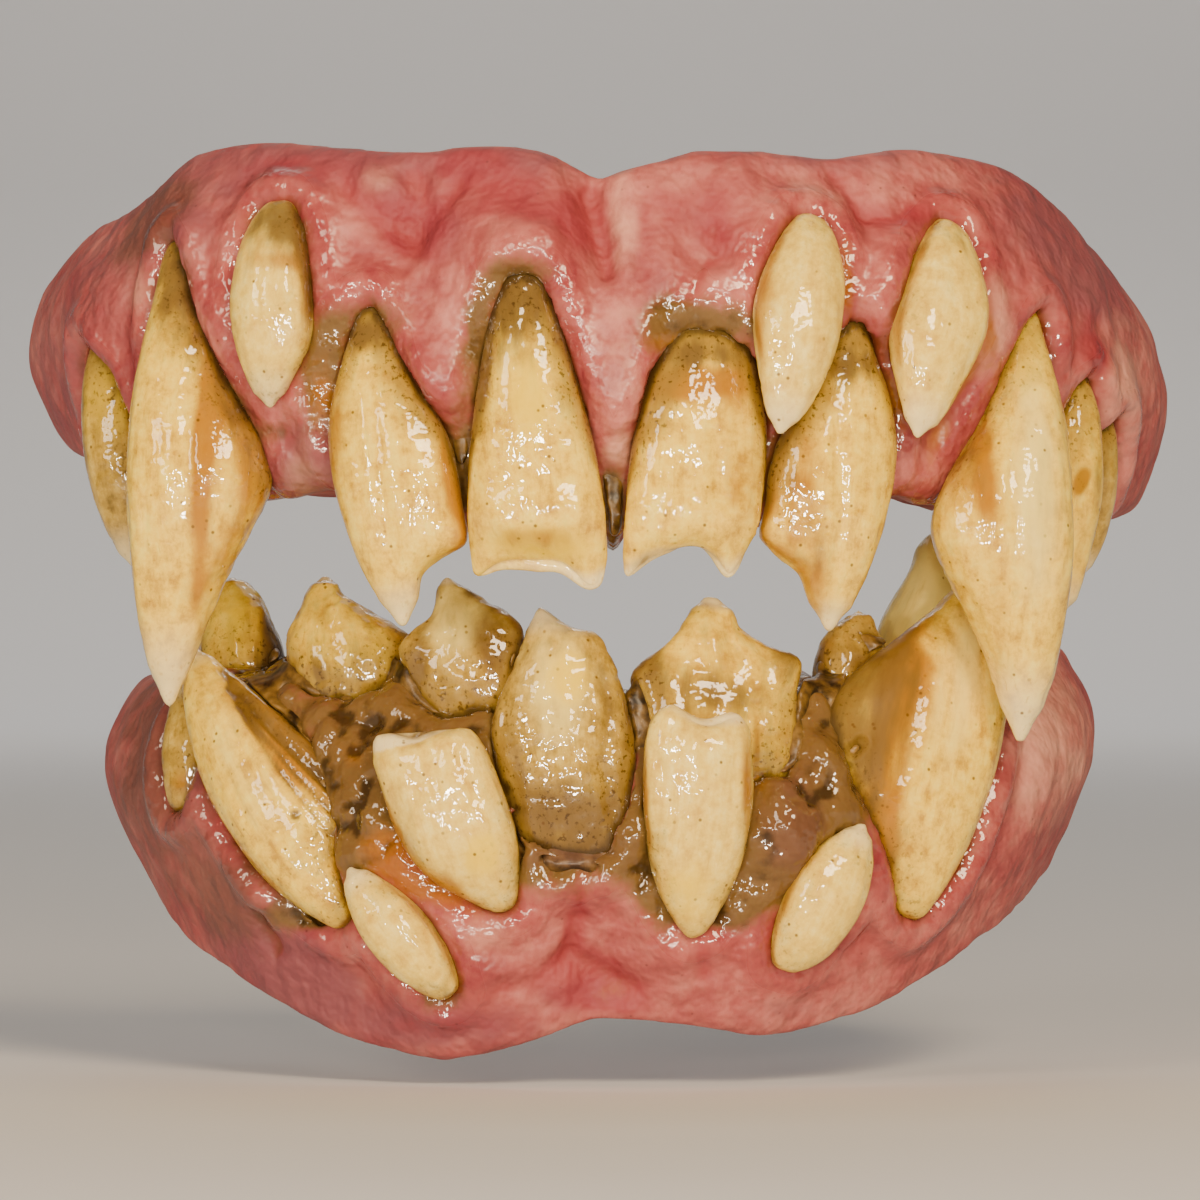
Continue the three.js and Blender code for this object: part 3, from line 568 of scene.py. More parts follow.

# Pulls are x, z, reach and rise; swells are x, z, wide, tall, lean and how far out; folds are a line of
# (x, z), its width, its depth and how red it is, that red partly the gum's own and partly painted shade in
# the crease; the other rows are stains, as on the teeth, with painted light and shade among them where
# marked.
gumLooks = {
    "upper_gum": {
        "pulls": [(0.75, -3, 1.3, -3.6), (-8.2, -3, 1.2, -2.6), (9.8, -3, 1.2, -2.2)],
        "swells": [
            (1, 2.6, 1.5, 3.2, 0, 1.5), (-9.2, 3.8, 1.3, 2.8, 8, 1.3), (-17, -0.6, 1.3, 2.6, 0, 0.9),
            (-4.4, 12, 2.6, 1.6, 0, 0.5), (-22.5, 13, 2.2, 2.6, 30, 0.4), (10, 3.6, 0.9, 3, 0, 0.9),
            (16.8, 8.4, 1.2, 4, 0, 0.7), (18, -1.6, 1.2, 2, 0, 0.8), (23.4, 6.4, 1, 3.4, -20, 0.6),
            (-13.1, 15, 1.5, 1.2, -20, 0.6), (28.4, 8, 2, 3.4, 20, 0.4), (-29.6, 8.4, 2.2, 2.2, 0, 0.6),
        ],
        "folds": [
            ([(1.4, 15.2), (1.3, 11), (1.2, 7.5)], 0.9, -0.4, 0),
            ([(-0.6, 14.6), (-0.2, 13), (0.3, 10.8), (0.5, 9.6)], 0.42, 0.75, 0.8),
            ([(2.6, 14.6), (2.4, 12), (2.3, 9.4)], 0.35, 0.35, 0.4),
            ([(6.6, 12.4), (6.7, 10.8), (6, 9.8), (5.3, 8.3)], 0.3, 0.45, 1),
            ([(-10.9, 15.4), (-10.5, 13.8), (-11.4, 12.7), (-10.9, 11.4)], 0.5, 0.7, 0.9),
            ([(-15, 14.9), (-13.6, 13.7), (-12.4, 12.9), (-11.2, 12.2)], 0.5, 0.55, 0.9),
            ([(-8.4, 15), (-9.2, 13.8), (-10.2, 12.6)], 0.45, 0.5, 0.8),
            ([(-24.9, 14.6), (-25.2, 13.2)], 0.3, 0.35, 0.6),
            ([(-27.4, 11.4), (-27.7, 9.4), (-27.6, 7.6)], 0.4, 0.4, 0.4),
            ([(-32.4, 9), (-33.2, 5.6), (-33.2, 1.4)], 0.6, 0.5, 0.5),
            ([(-30.9, 8.6), (-31.5, 5.4), (-31.4, 2)], 0.5, 0.45, 0.3),
            ([(13.8, 15.8), (14.8, 14.4), (15.6, 13.2)], 0.35, 0.4, 0.7),
            ([(15.4, 13.4), (17.8, 13), (19.4, 14.6)], 0.4, 0.45, 0.8),
            ([(24.8, 11.6), (25.3, 9.8), (24.8, 7.9), (23.4, 4.6), (21.6, 2.6)], 0.3, 0.3, 0.7),
            ([(29.8, 7.4), (30, 4.8), (29.2, 2.6)], 0.5, 0.45, 0.7),
            ([(32.6, 6.4), (33.4, 3.2), (33, 0.2)], 0.45, 0.35, 0.5),
            ([(31.2, 9.4), (31.9, 6.6)], 0.4, 0.35, 0.5),
        ],
        "mud": [
            (-13.8, 6.8, 2.1, 1.1, 0, 1.5), (-16.3, 4.2, 1, 2.8, 0, 1.4), (-8.1, -1.8, 0.9, 3, 0, 1.4),
            (-4.6, 9.6, 1.8, 0.9, 0, 1.2), (-6.9, 6.4, 1, 3, -12, 1.5), (5.6, 6.4, 3, 1.6, 0, 1.5),
            (3.8, 7.2, 1, 1.2, 0, 0.7), (0.75, -4.4, 0.8, 3.4, 0, 1.4), (10, -2.6, 0.9, 3.4, 0, 1),
            (17.4, 2.6, 0.9, 1.8, 0, 0.9), (-19.4, 0.7, 1.4, 0.7, 0, 0.6), (-21, 2.6, 0.6, 2, 30, 0.7),
            (-25.4, 10.2, 1.2, 2.2, 10, 1), (-19, 12.8, 1.8, 1, 0, 1.2),
        ],
        "red": [
            (-5.2, 13.8, 3.2, 1.7, -18, 1), (-7.2, 16.2, 2.8, 1.2, 0, 1.1), (-17.4, 16.2, 4.4, 1.2, 0, 0.8),
            # The first row on this line is painted shadow in the recess at the top left corner.
            (-26.4, 13.6, 2.6, 1.2, 40, 0.7), (-1.4, 12.6, 1.2, 2.2, 10, 1), (-11, 12.4, 2.4, 1.7, -30, 1.5),
            (7.2, 12.4, 2, 2.4, 0, 0.8), (3.8, 13.8, 1.4, 1.4, 0, 0.7), (17.2, 13.2, 2.8, 1.1, 0, 0.8),
            (29.2, 5.8, 1, 2.4, 15, 0.8), (-20.6, 5.2, 0.6, 3, 14, 0.5), (14.6, 8.6, 0.5, 3, 0, 0.8),
            (22.4, 8.4, 0.5, 3, 0, 0.6), (9.1, 8.4, 0.4, 3.4, -10, 0.6),
        ],
        "mauve": [
            (-17, 17, 7, 2, 0, 1), (-26, 13, 4.4, 3.4, 35, 1.1), (-10.6, 12.8, 2.6, 1.7, -30, 1.2),
            (-7, 16.4, 3.6, 1.2, 0, 0.8), (-33, 5, 3.4, 7, 0, 0.7), (13, 17, 9, 1.3, 0, 0.6),
            (27, 12.5, 4.4, 3, -40, 1), (32.5, 4.5, 1.6, 6, 10, 0.6), (-3, 16.6, 5, 1.2, 0, 0.6),
            (29.5, 9, 2, 2.4, 0, 0.7), (-17, -1.6, 1.8, 3, 0, 1.2),
        ],
        "pale": [
            (1.4, 12.6, 1, 3.6, 0, 0.6), (-17, -1.6, 1.5, 2.4, 0, 0.5), (1.1, 4, 1.2, 3.6, 0, 0.4),
            (1.1, -0.2, 0.6, 1, 0, 1.5), (-13, 15.2, 1.2, 1, 0, 0.5), (-11.6, 7.6, 2.2, 2.2, 0, 0.35),
            # The first row on this line lightens the right end: partly its paler tone, partly painted light
            # from the right.
            (31.6, 3.6, 2.2, 4.4, 0, 0.7), (12, 14.4, 3, 1.4, 0, 0.35), (23, 7.2, 1.2, 3.4, -10, 0.6),
            (-27.4, 9.6, 0.8, 2.4, 10, 0.6),
        ],
        "amber": [
            (17.3, 2.4, 0.8, 1.8, 0, 0.9), (9.9, -2.6, 0.6, 3, 0, 0.6), (-16.3, 3, 0.6, 2, 0, 0.7),
            (5.4, 5.6, 3, 0.8, 0, 0.8), (14.4, 9.4, 0.4, 2.6, 0, 0.9), (22.4, 8, 0.45, 3, 8, 0.9),
            (21.4, 4.2, 0.5, 1.8, -25, 0.8), (19.6, 0.2, 0.5, 1.6, -30, 0.8),
        ],
        # The second ash row is painted shadow in the recess at the top left corner.
        "ashAndShade": [(-6.6, 7, 0.8, 1.8, -12, 0.5), (-26.6, 13.4, 3, 1.5, 40, 2), (-17, -2, 1.6, 2, 0, 0.5)],
    },
    "lower_gum": {
        "pulls": [
            (-11.4, -14, 1.3, 1.9), (-18, -14, 1.3, 1.5), (1.6, -14.2, 1.2, 0.9), (11.6, -14, 1.2, 1.4),
        ],
        "swells": [
            (-5.6, -30.6, 3.2, 2.2, 20, 0.7), (4.2, -30.2, 3, 2.2, -10, 0.6),
            (-13, -22.8, 1.4, 2.6, -30, 0.8), (-3.9, -22.4, 1.2, 3, 0, 1.2), (1.8, -21.4, 0.8, 3.6, 0, 1),
            (10.9, -22.4, 1.5, 4, 10, 1.4), (10.8, -26, 1.4, 1.6, 0, 0.8), (-1.6, -25, 3, 1.4, 0, 0.9),
            (-11.2, -28, 2.2, 1, -25, 0.6), (-20.5, -25, 2, 2.6, -35, 0.5), (21.5, -24.5, 2, 3.4, 30, 0.5),
            (11.5, -17.6, 1.4, 2.2, 0, 0.9),
        ],
        "folds": [
            ([(-1.1, -26), (-1.4, -28.4), (-1.8, -30.2), (-0.3, -31.2), (1.8, -32.2)], 0.45, 0.6, 1),
            ([(-1.8, -30.2), (-4, -31.8), (-6.6, -32.2)], 0.5, 0.45, 0.5),
            ([(-20.4, -28.2), (-19.9, -29.4), (-19.4, -30.4)], 0.28, 0.7, 1.2),
            ([(-17.9, -28.9), (-16.4, -28.4), (-15, -27.7)], 0.26, 0.55, 1),
            ([(-22, -21.5), (-22.3, -24), (-21.6, -26)], 0.5, 0.4, 0.5),
            ([(-28.5, -17), (-28.9, -20)], 0.4, 0.4, 0.6),
            ([(-26.6, -18), (-26.9, -21.6), (-25.9, -24.6)], 0.4, 0.35, 0.4),
            ([(22.6, -16), (22, -20.6), (20.6, -24.6), (18, -28.2)], 0.45, 0.4, 0.4),
            ([(25.4, -19), (24.6, -22.6), (22.6, -26)], 0.5, 0.35, 0.3),
            ([(15.6, -29.2), (13, -31), (10, -31.6)], 0.45, 0.4, 0.4),
            ([(5.8, -29.4), (6.2, -31.2)], 0.4, 0.4, 0.6),
        ],
        "mud": [
            (-9, -17, 12, 4.4, 0, 1.3), (8, -16.6, 9, 4.4, 0, 1.3), (-13.4, -22.2, 1.7, 3.4, -32, 1.2),
            (-3.8, -21.8, 1.8, 3.2, 0, 1.2), (-1.5, -24.6, 3.4, 1.3, 0, 1), (1.8, -21.4, 1.2, 4.4, 0, 1.2),
            (10.9, -22.2, 2, 4.6, 8, 1.2), (3.5, -26.6, 1, 2, 20, 2), (7.8, -27.2, 1.9, 0.9, 30, 2),
            (-17.4, -27.8, 2.6, 0.9, 8, 1.9), (-9.4, -33, 1.2, 0.5, 0, 0.8), (15.4, -13.4, 2.2, 1.8, 0, 1.2),
            (-14.2, -20.6, 2.4, 3.8, -25, 1.6), (-20.4, -14.4, 2, 2, 0, 1.1), (13.4, -19.5, 1.2, 3, 0, 1),
            (14.4, -21.2, 1.2, 2.2, 0, 1.6), (12, -24.4, 0.9, 2.8, -42, 1.8), (8.9, -24.6, 1.3, 1.7, 0, 1.3),
            (-1.7, -24.6, 2, 0.7, 0, 1.8),
        ],
        "red": [
            (-0.4, -31.4, 2.8, 1.4, -8, 1.5), (-9, -34.2, 4.6, 1.2, 0, 0.6), (0.2, -32.8, 2.4, 1, 0, 1.2),
            (6.4, -30, 2.4, 1.6, 0, 0.6), (-9, -26.8, 1.8, 0.5, -22, 0.7), (-1.3, -28.4, 0.8, 2, 0, 0.6),
            (9.9, -28, 0.5, 2.2, 0, 0.8), (24, -19.6, 1.6, 1.6, 0, 0.6),
        ],
        "mauve": [
            (-27, -20, 3.6, 6, 0, 0.9), (-21, -26, 2.4, 2.4, 0, 0.6), (-9.4, -34.4, 5, 1.4, 0, 1.2),
            (-24, -17, 1.5, 4, 0, 0.6), (-18.5, -31.4, 5, 2.4, -28, 1.4), (-0.4, -32.4, 2.8, 1.1, 0, 1.1),
            (28, -21, 1.6, 6, 0, 0.3), (12, -33.6, 5, 1, 0, 0.4),
        ],
        # The first pale row lightens the right end: partly its paler tone, partly painted light from the
        # right.
        "pale": [(27, -18, 3.4, 5, 0, 0.9), (-6.4, -29, 2.2, 1.4, 0, 0.5), (20.6, -22.6, 2, 3, 20, 0.4)],
        "amber": [
            (-12.4, -24.2, 1.7, 1, -40, 1.4), (-9.8, -26.5, 2.4, 0.5, -28, 1.1),
            (-14.4, -18.6, 1.4, 0.8, -30, 0.5), (9.5, -19, 0.5, 2, 0, 1), (0.8, -32.4, 1.6, 0.8, 0, 0.3),
        ],
        "ashAndShade": [
            (11.2, -22.6, 1.7, 4, 0, 1), (-1.6, -23.8, 2.8, 1.3, 0, 1), (5.8, -28, 2.6, 0.8, 0, 0.6),
            (-27, -19, 3, 6.4, 0, 1.3), (-22, -27, 3.6, 2.8, -30, 1.1), (-3.9, -20, 0.8, 2.4, 0, 0.7),
        ],
    },
}
gumKinds = ("mud", "red", "mauve", "pale", "amber", "ashAndShade")


def gumSkin(node):
    plate = plates[node.split("_")[0]]
    look = gumLooks[node]
    skin = Skin(solidMesh(node), gumWork["voxel"], 0)
    skin.smooth(gumWork["smooth"])
    for atX, atZ, reach, rise in look["pulls"]:
        near = ((skin.points[:, 0] - atX) ** 2 + (skin.points[:, 2] - atZ) ** 2) / reach ** 2
        skin.points[:, 2] += rise * np.exp(-near)
    normals = skin.normals()
    points = skin.points
    x, z = points[:, 0], points[:, 2]
    lumpy = 1 if plate["tip"] > 0 else 0.3  # the lower plate is caked, the upper one only stained
    facing = ramp(0.0, 0.5, (normals * outward(points, plate)).sum(1))
    front = skin.averaged(facing * ramp(26, 16, points[:, 1]), 8)
    ahead = skin.averaged(ramp(0.1, 0.55, -normals[:, 1]), 10)

    lift = spread(x, z, look["swells"]) * front
    # Folds get red, partly the gum's own red and partly painted shade in the crease, and the reddest ones a
    # dark line of painted shade.
    crease, foldShade = np.zeros(len(points)), np.zeros(len(points))
    for line, wide, deep, red in look["folds"]:
        near = np.exp(-(strokeGap(x, z, line) / (1.35 * wide)) ** 2) * front * ahead
        lift -= deep * near
        crease += 0.5 * red * near
        foldShade = np.maximum(foldShade, near * ramp(0.9, 1.2, red))
    lift += 0.22 * lumps(points, 5.0, 3) + 0.12 * lumps(points, 2.2, 5)
    lift += 0.1 * facing * lumps(points / (1, 1, 3.2), 0.9, 7)
    ring = (x / plate["half"][0]) ** 2 + ((points[:, 1] - plate["centre"]) / plate["half"][1]) ** 2
    bed = ramp(0.3, 0.7, normals[:, 2] * plate["tip"]) * ramp(0.8, 1.0, ring) * ramp(26, 18, points[:, 1])
    mud = spread(x, z, look["mud"]) * np.maximum(front, bed)
    cake = 0.5 * lumps(points, 2.6, 9) + 0.35 * lumps(points, 1.3, 11) + 0.15 * lumps(points, 0.7, 13)
    lift += lumpy * np.clip(mud, 0, 1) * cake
    skin.points = points + normals * lift[:, None]

    tree = plateTree[node]
    hits = [tree.find_nearest(point, 5.0) for point in skin.points.tolist()]
    gap = np.array([5.0 if hit[0] is None else hit[3] for hit in hits])
    touch = np.array([(0, 0, 0) if hit[0] is None else tuple(hit[0]) for hit in hits])
    normals = skin.normals()
    outer = ramp(-0.2, 0.4, (normals * outward(points, plate)).sum(1) + 0.5 * normals[:, 2] * plate["tip"])
    roll = gumWork["roll"] * np.exp(-((gap - gumWork["rollAt"]) / gumWork["rollWide"]) ** 2) * outer
    roll *= 1 - 0.75 * np.clip(mud, 0, 1)
    pull = np.where(gap[:, None] < gumWork["seal"], touch - skin.points, 0)
    pull = pull * (1.2 * ramp(gumWork["seal"], 0.3, gap))[:, None]
    skin.points = skin.points + normals * roll[:, None] + pull
    skin.smooth(4)
    margin = ramp(3.4, 0.8, gap)[:, None]
    before = skin.points.copy()
    skin.smooth(8)
    skin.points = before + (skin.points - before) * margin
    bubbles = lumpy * (0.25 * lumps(points, 1.2, 23) + 0.14 * lumps(points, 0.6, 25))
    skin.points = skin.points + skin.normals() * (bubbles * np.clip(mud, 0, 1))[:, None]

    skin.stains = {kind: spread(x, z, look[kind]) * front for kind in gumKinds}
    skin.stains["mauve"] = spread(x, z, look["mauve"]) * facing
    skin.stains["mud"] = np.clip(mud, 0, 1.3)
    skin.stains["red"] = skin.stains["red"] + crease
    skin.stains["wet"] = np.maximum(ramp(3.2, 0.6, gap), ramp(0.2, 0.7, mud))
    # A dark line where the gum meets the teeth, and a dark line of painted shade down the reddest folds.
    skin.stains["seamAndFoldShade"] = np.exp(-(gap / 0.55) ** 2) + 0.9 * foldShade
    # Dip marks the hollows; the darker red laid there is painted shade.
    skin.stains["dip"] = np.clip(skin.hollows(12) / 0.12, -1, 1)
    ragged = 0.5 * lumps(points, 2.0, 15) + 0.5 * lumps(points, 0.9, 17)
    for kind in gumKinds + ("seamAndFoldShade",):
        skin.stains[kind] = skin.stains[kind] + 0.45 * ragged * ramp(0.05, 0.6, skin.stains[kind])
    # Murk is partly dark grime in the mud and partly painted shade, laid heavier in its dips.
    low = np.clip(skin.stains["dip"] + 0.45 + 0.5 * ragged, 0, 1)
    skin.stains["murkAndShade"] = np.clip(skin.stains["mud"], 0, 1) * low
    return skin


def treeOf(rows):
    corners, faces = [], []
    for skin in rows:
        faces += [tuple(i + len(corners) for i in face.vertices) for face in skin.mesh.polygons]
        corners += skin.points.tolist()
    return BVHTree.FromPolygons(corners, faces)


proud = ("lower_left_front", "lower_right_front")  # with the spurs, these stand clear of the slime
plateTree, clingTree = {}, {}
for gum in gumLooks:
    rows = {node: skin for node, skin in skins.items() if node.split("_")[0] == gum.split("_")[0]}
    plateTree[gum] = treeOf(rows.values())
    clingTree[gum] = treeOf([skin for node, skin in rows.items() if node not in proud and "spur" not in node])
gums = {node: gumSkin(node) for node in gumLooks}
print("gums:", sum(len(skin.mesh.polygons) for skin in gums.values()), "faces")


# dried slime

gumTree = {node: treeOf([skin]) for node, skin in gums.items()}
slimeWork = {
    "cell": 0.22, "deep": 2.5, "show": 0.6, "thick": 1.4, "lump": 0.09, "voxel": 0.2, "smooth": 12,
    "soften": 9, "edgeSink": 1.2, "shallowSink": 0.5, "lowSink": 0.45,
}
# Area is x, z to x, z in the front view, reach the widest dip that fills, fill how full, under how far
# it sinks, and low the patches where it has shrunk, or below 0 swelled.
slimeRuns = {
    "upper_gum": {
        "area": (-10.5, -6.2, 12.0, 2.4), "reach": 1.2, "fill": 0.42, "under": 0.8, "dark": 0.5, "low": [],
    },
    "lower_gum": {
        "area": (-25.0, -31.0, 24.0, -10.0), "reach": 2.4, "fill": 0.88, "under": 0.12, "dark": 0.6,
        "low": [
            (1.1, -21.4, 0.6, 2.4, -26, 2.4), (-1.0, -23.5, 2.0, 0.7, 0, 2.4),
            (-1.7, -24.7, 1.6, 0.5, 0, -1.3),
            (-9.8, -15.4, 2.2, 1.2, -20, 1.2), (10.6, -18.2, 1.4, 1.8, 0, 1.2),
        ],
    },
}


def highest(field, steps):  # each cell takes the highest value within some steps of it
    size = max(dx for dx, dz in steps)
    padded = np.pad(field, size, mode="edge")
    rows, columns = field.shape
    moved = [padded[size + dx:size + dx + rows, size + dz:size + dz + columns] for dx, dz in steps]
    return np.max(moved, axis=0)


def softened(field, turns):
    for turn in range(turns):
        wide = np.pad(field, 1, mode="edge")
        field = 0.5 * field + 0.125 * (wide[2:, 1:-1] + wide[:-2, 1:-1] + wide[1:-1, 2:] + wide[1:-1, :-2])
    return field


def slimeSkin(gum):  # seen from the front, dips narrower than the reach are filled where the gum is muddy
    work, run = slimeWork, slimeRuns[gum]
    cell = work["cell"]
    left, low, right, high = run["area"]
    xs, zs = np.arange(left, right, cell), np.arange(low, high, cell)
    height = np.full((len(xs), len(zs)), -60.0)
    for i, x in enumerate(xs):
        for j, z in enumerate(zs):
            for tree in (gumTree[gum], clingTree[gum]):
                hit = tree.ray_cast((x, -60, z), (0, 1, 0))[0]
                if hit:
                    height[i, j] = max(height[i, j], -hit[1])
    span = int(run["reach"] / cell)
    reach = range(-span, span + 1)
    steps = [(dx, dz) for dx in reach for dz in reach if dx * dx + dz * dz <= span * span]
    closed = -highest(-highest(height, steps), steps)
    solid = (height > -40) | (plates[gum.split("_")[0]]["tip"] < 0)  # upper teeth may have webs between them
    height = np.maximum(height, closed - work["deep"])
    acrossX, upZ = [side.ravel() for side in np.meshgrid(xs, zs, indexing="ij")]
    muddy = ramp(0.15, 0.6, spread(acrossX, upZ, gumLooks[gum]["mud"])).reshape(height.shape)
    level = softened(height + run["fill"] * muddy * (closed - height), work["soften"])
    level = np.minimum(level, closed) - run["under"] - work["edgeSink"] * ramp(0.8, 0.25, muddy)
    level -= work["shallowSink"] * ramp(0.7, 0.1, closed - height)
    level -= work["lowSink"] * np.clip(spread(acrossX, upZ, run["low"]), -1, 2).reshape(height.shape)
    kept = (level > height - work["show"]) & (muddy > 0.25) & (closed > -30) & solid
    near = [step for step in steps if step[0] ** 2 + step[1] ** 2 <= 4]
    core = -highest(-kept.astype(float), near)
    kept &= highest(highest(core, near), near) > 0.5  # drops loose crumbs
    corner = np.arange(height.size).reshape(height.shape)
    full = kept[:-1, :-1] & kept[1:, :-1] & kept[1:, 1:] & kept[:-1, 1:]
    quads = np.stack([corner[:-1, :-1], corner[1:, :-1], corner[1:, 1:], corner[:-1, 1:]], -1)
    quads = quads[full].tolist()
    sides = {(quad[i], quad[i - 3]) for quad in quads for i in range(4)}
    rim = [(a, b) for a, b in sorted(sides) if (b, a) not in sides]
    count = height.size
    faces = quads + [[v + count for v in reversed(quad)] for quad in quads]
    faces += [(b, a, a + count, b + count) for a, b in rim]
    front = np.stack([acrossX, -level.ravel(), upZ], 1)
    body = bpy.data.meshes.new("filling")
    body.from_pydata(np.concatenate([front, front + (0, work["thick"], 0)]).tolist(), [], faces)
    skin = Skin(body, work["voxel"], 0)
    skin.smooth(work["smooth"])
    points = skin.points
    swell = lumps(points, 1.8, 33) + 0.4 * lumps(points, 0.9, 35)
    skin.points = points + skin.normals() * (work["lump"] * swell)[:, None]
    # Dark is painted shade in the dips and painted light on the humps, plus random tone and an even darkening
    # for each run.
    dark = skin.hollows(10) / 0.08 + 0.6 * lumps(points, 2.4, 37) + run["dark"]
    skin.stains = {kind: spread(points[:, 0], points[:, 2], gumLooks[gum][kind]) for kind in ("amber", "ashAndShade")}
    skin.stains["dark"] = np.clip(dark, -1, 1)
    return skin


slimes = {gum: slimeSkin(gum) for gum in slimeRuns}
slimeTree = {gum: treeOf([skin]) for gum, skin in slimes.items()}
print("slime:", sum(len(skin.mesh.polygons) for skin in slimes.values()), "faces")


# materials

def mask(tree, name):  # the number marked at each point under that name
    return addNode(tree, "Attribute", {"attribute_name": name}).outputs["Fac"]


def mapped(tree, value, low, high, atLow, atHigh, kind="LINEAR"):
    links = {0: value, 1: low, 2: high, 3: atLow, 4: atHigh}
    return addNode(tree, "MapRange", {"interpolation_type": kind}, links).outputs[0]


def sums(tree, operation, values):
    return addNode(tree, "Math", {"operation": operation}, dict(enumerate(values))).outputs[0]


def noise(tree, place, size, detail, rough=0.5):  # size in millimetres
    links = {"Vector": place, "Scale": 1 / size, "Detail": detail, "Roughness": rough}
    return addNode(tree, "TexNoise", {}, links).outputs["Fac"]


def tinted(tree, share, colour, other):  # lays a share of another colour over a colour
    return addNode(tree, "Mix", {"data_type": "RGBA"}, {0: share, 6: colour, 7: linear(other)}).outputs[2]


def layStainsAndShading(tree, colour, grain, rows):  # lays ragged stains and painted light and shade over a colour: mask, colour, ragged, strength
    for name, stain, ragged, strength in rows:
        edge = sums(tree, "MULTIPLY_ADD", (grain, ragged, mask(tree, name)))
        cover = mapped(tree, edge, ragged * 0.5 + 0.08, ragged * 0.5 + 1.0, 0, strength, "SMOOTHSTEP")
        colour = tinted(tree, cover, colour, stain)
    return colour


def specked(tree, colour, place, size, dot, some, speck):  # dots in some of the cells of a random net
    cells = addNode(tree, "TexVoronoi", {}, {"Vector": place, "Scale": 1 / size, "Randomness": 1})
    dots = mapped(tree, cells.outputs["Distance"], *dot, 1, 0)
    few = mapped(tree, cells.outputs["Color"], *some)
    return tinted(tree, sums(tree, "MULTIPLY", (dots, few)), colour, speck)


def rippled(tree, place, size, detail, strength, deep):  # size and depth in millimetres
    links = {"Height": noise(tree, place, size, detail), "Strength": strength, "Distance": deep * metre}
    return addNode(tree, "Bump", {}, links).outputs[0]


def threeTone(tree, value, stops):  # a colour run through three stops: place, colour
    steps = addNode(tree, "ValToRGB", {}, {0: value})
    elements = steps.color_ramp.elements
    for element, (place, colour) in zip((elements[0], elements[1]), (stops[0], stops[2])):
        element.position = place
        element.color = linear(colour)
    elements.new(stops[1][0]).color = linear(stops[1][1])
    return steps.outputs[0]


def newMaterial(name):  # with its nodes, its shader and the place on the piece in millimetres
    material = bpy.data.materials.new(name)
    material.use_nodes = True
    tree = material.node_tree
    place = addNode(tree, "TexCoord").outputs["Object"]
    inMm = addNode(tree, "VectorMath", {"operation": "SCALE"}, {0: place, "Scale": 1 / metre}).outputs[0]
    return material, tree, tree.nodes["Principled BSDF"], inMm


toothTints = {
    "ivory": {"shade": "#BE9022", "body": "#EEC538", "light": "#FADF5C"},
    "pale": {"shade": "#D2A840", "body": "#EBCA56", "light": "#F7E17E"},
    "olive": {"shade": "#7C6220", "body": "#B49236", "light": "#D2B658"},
    "all": {"tip": "#EFE0AE", "grit": "#3A260C", "speck": "#5A3A10"},
}
# brown and orange also carry the painted shade on the teeth's sides, and pale some painted light on the right
# fang.
toothStainsAndShading = [
    ("pale", "#F0DA78", 0.5, 0.85), ("green", "#EEC80C", 0.6, 0.8), ("orange", "#A66C00", 0.8, 0.94),
    ("neck", "#886A28", 0.9, 0.85), ("brown", "#6A5026", 1.0, 0.9), ("ochre", "#AE7C02", 0.3, 0.97),
    ("root", "#362612", 0.9, 0.85),
]


def castTooth(kind):
    # Layered tooth acrylic, cast, hand stained and glazed: cream streaked along the tooth, brown where the
    # stain settled, a clearer tip, and a thin wet glaze that breaks up over fine ridges.
    tint = {**toothTints["all"], **toothTints[kind]}
    material, tree, shader, inMm = newMaterial("glazedToothAcrylic_" + kind)
    grain = addNode(tree, "Attribute", {"attribute_name": "grain"}).outputs["Vector"]
    streak = noise(tree, grain, 0.8, 4, 0.65)
    mottle = noise(tree, inMm, 1.1, 4, 0.7)
    blend = addNode(tree, "Mix", {}, {0: 0.6, 2: streak, 3: mottle}).outputs[0]
    colour = threeTone(tree, blend, [(0.36, tint["shade"]), (0.5, tint["body"]), (0.64, tint["light"])])
    colour = tinted(tree, mask(tree, "tip"), colour, tint["tip"])
    line = mapped(tree, noise(tree, grain, 0.26, 2, 0.6), 0.56, 0.74, 0, 0.4, "SMOOTHSTEP")
    colour = tinted(tree, line, colour, tint["shade"])
    colour = layStainsAndShading(tree, colour, streak, toothStainsAndShading)
    dirty = mapped(tree, mask(tree, "neck"), 0.1, 0.7, 0, 0.75)
    dust = mapped(tree, noise(tree, inMm, 0.3, 2, 0.6), 0.55, 0.7, 0, dirty, "SMOOTHSTEP")
    colour = tinted(tree, dust, colour, tint["grit"])
    wire(tree, shader, {
        "Base Color": specked(tree, colour, inMm, 0.7, (0.09, 0.19), (0.5, 0.7, 0, 0.8), tint["speck"]),
        "Roughness": mapped(tree, mottle, 0.35, 0.7, 0.3, 0.5),
        "IOR": 1.49,
        "Specular IOR Level": 0.05,
        "Coat Weight": mapped(tree, mask(tree, "dull"), 0, 0.8, 1, 0),  # worn off in places
        "Coat Normal": rippled(tree, inMm, 1.15, 2, 0.4, 0.36),
        "Coat IOR": 1.57,
        "Coat Roughness": 0.06,
        "Subsurface Weight": 0.15,
        "Subsurface Radius": (1.0, 0.7, 0.35),
        "Subsurface Scale": 0.7 * metre,
    })
    return material


gumTints = {"rose": "#8A373C", "salmon": "#9E4D4B", "light": "#BA7068", "pore": "#401A1C"}
# dip is painted shade; seam, murk, red and ash are partly painted shade and pale partly painted light, as
# marked where each is worked out.
gumStainsAndShading = [
    ("mauve", "#7C4049", 0.8, 0.85), ("pale", "#D69C86", 0.5, 0.75), ("red", "#8A2330", 0.8, 0.75),
    ("dip", "#8F3336", 0.5, 0.5), ("seamAndFoldShade", "#5E3012", 0.8, 0.85), ("mud", "#685128", 0.9, 0.94),
    ("amber", "#96590A", 0.8, 0.85), ("ashAndShade", "#664234", 0.8, 0.7), ("murkAndShade", "#281A08", 0.9, 0.8),
]


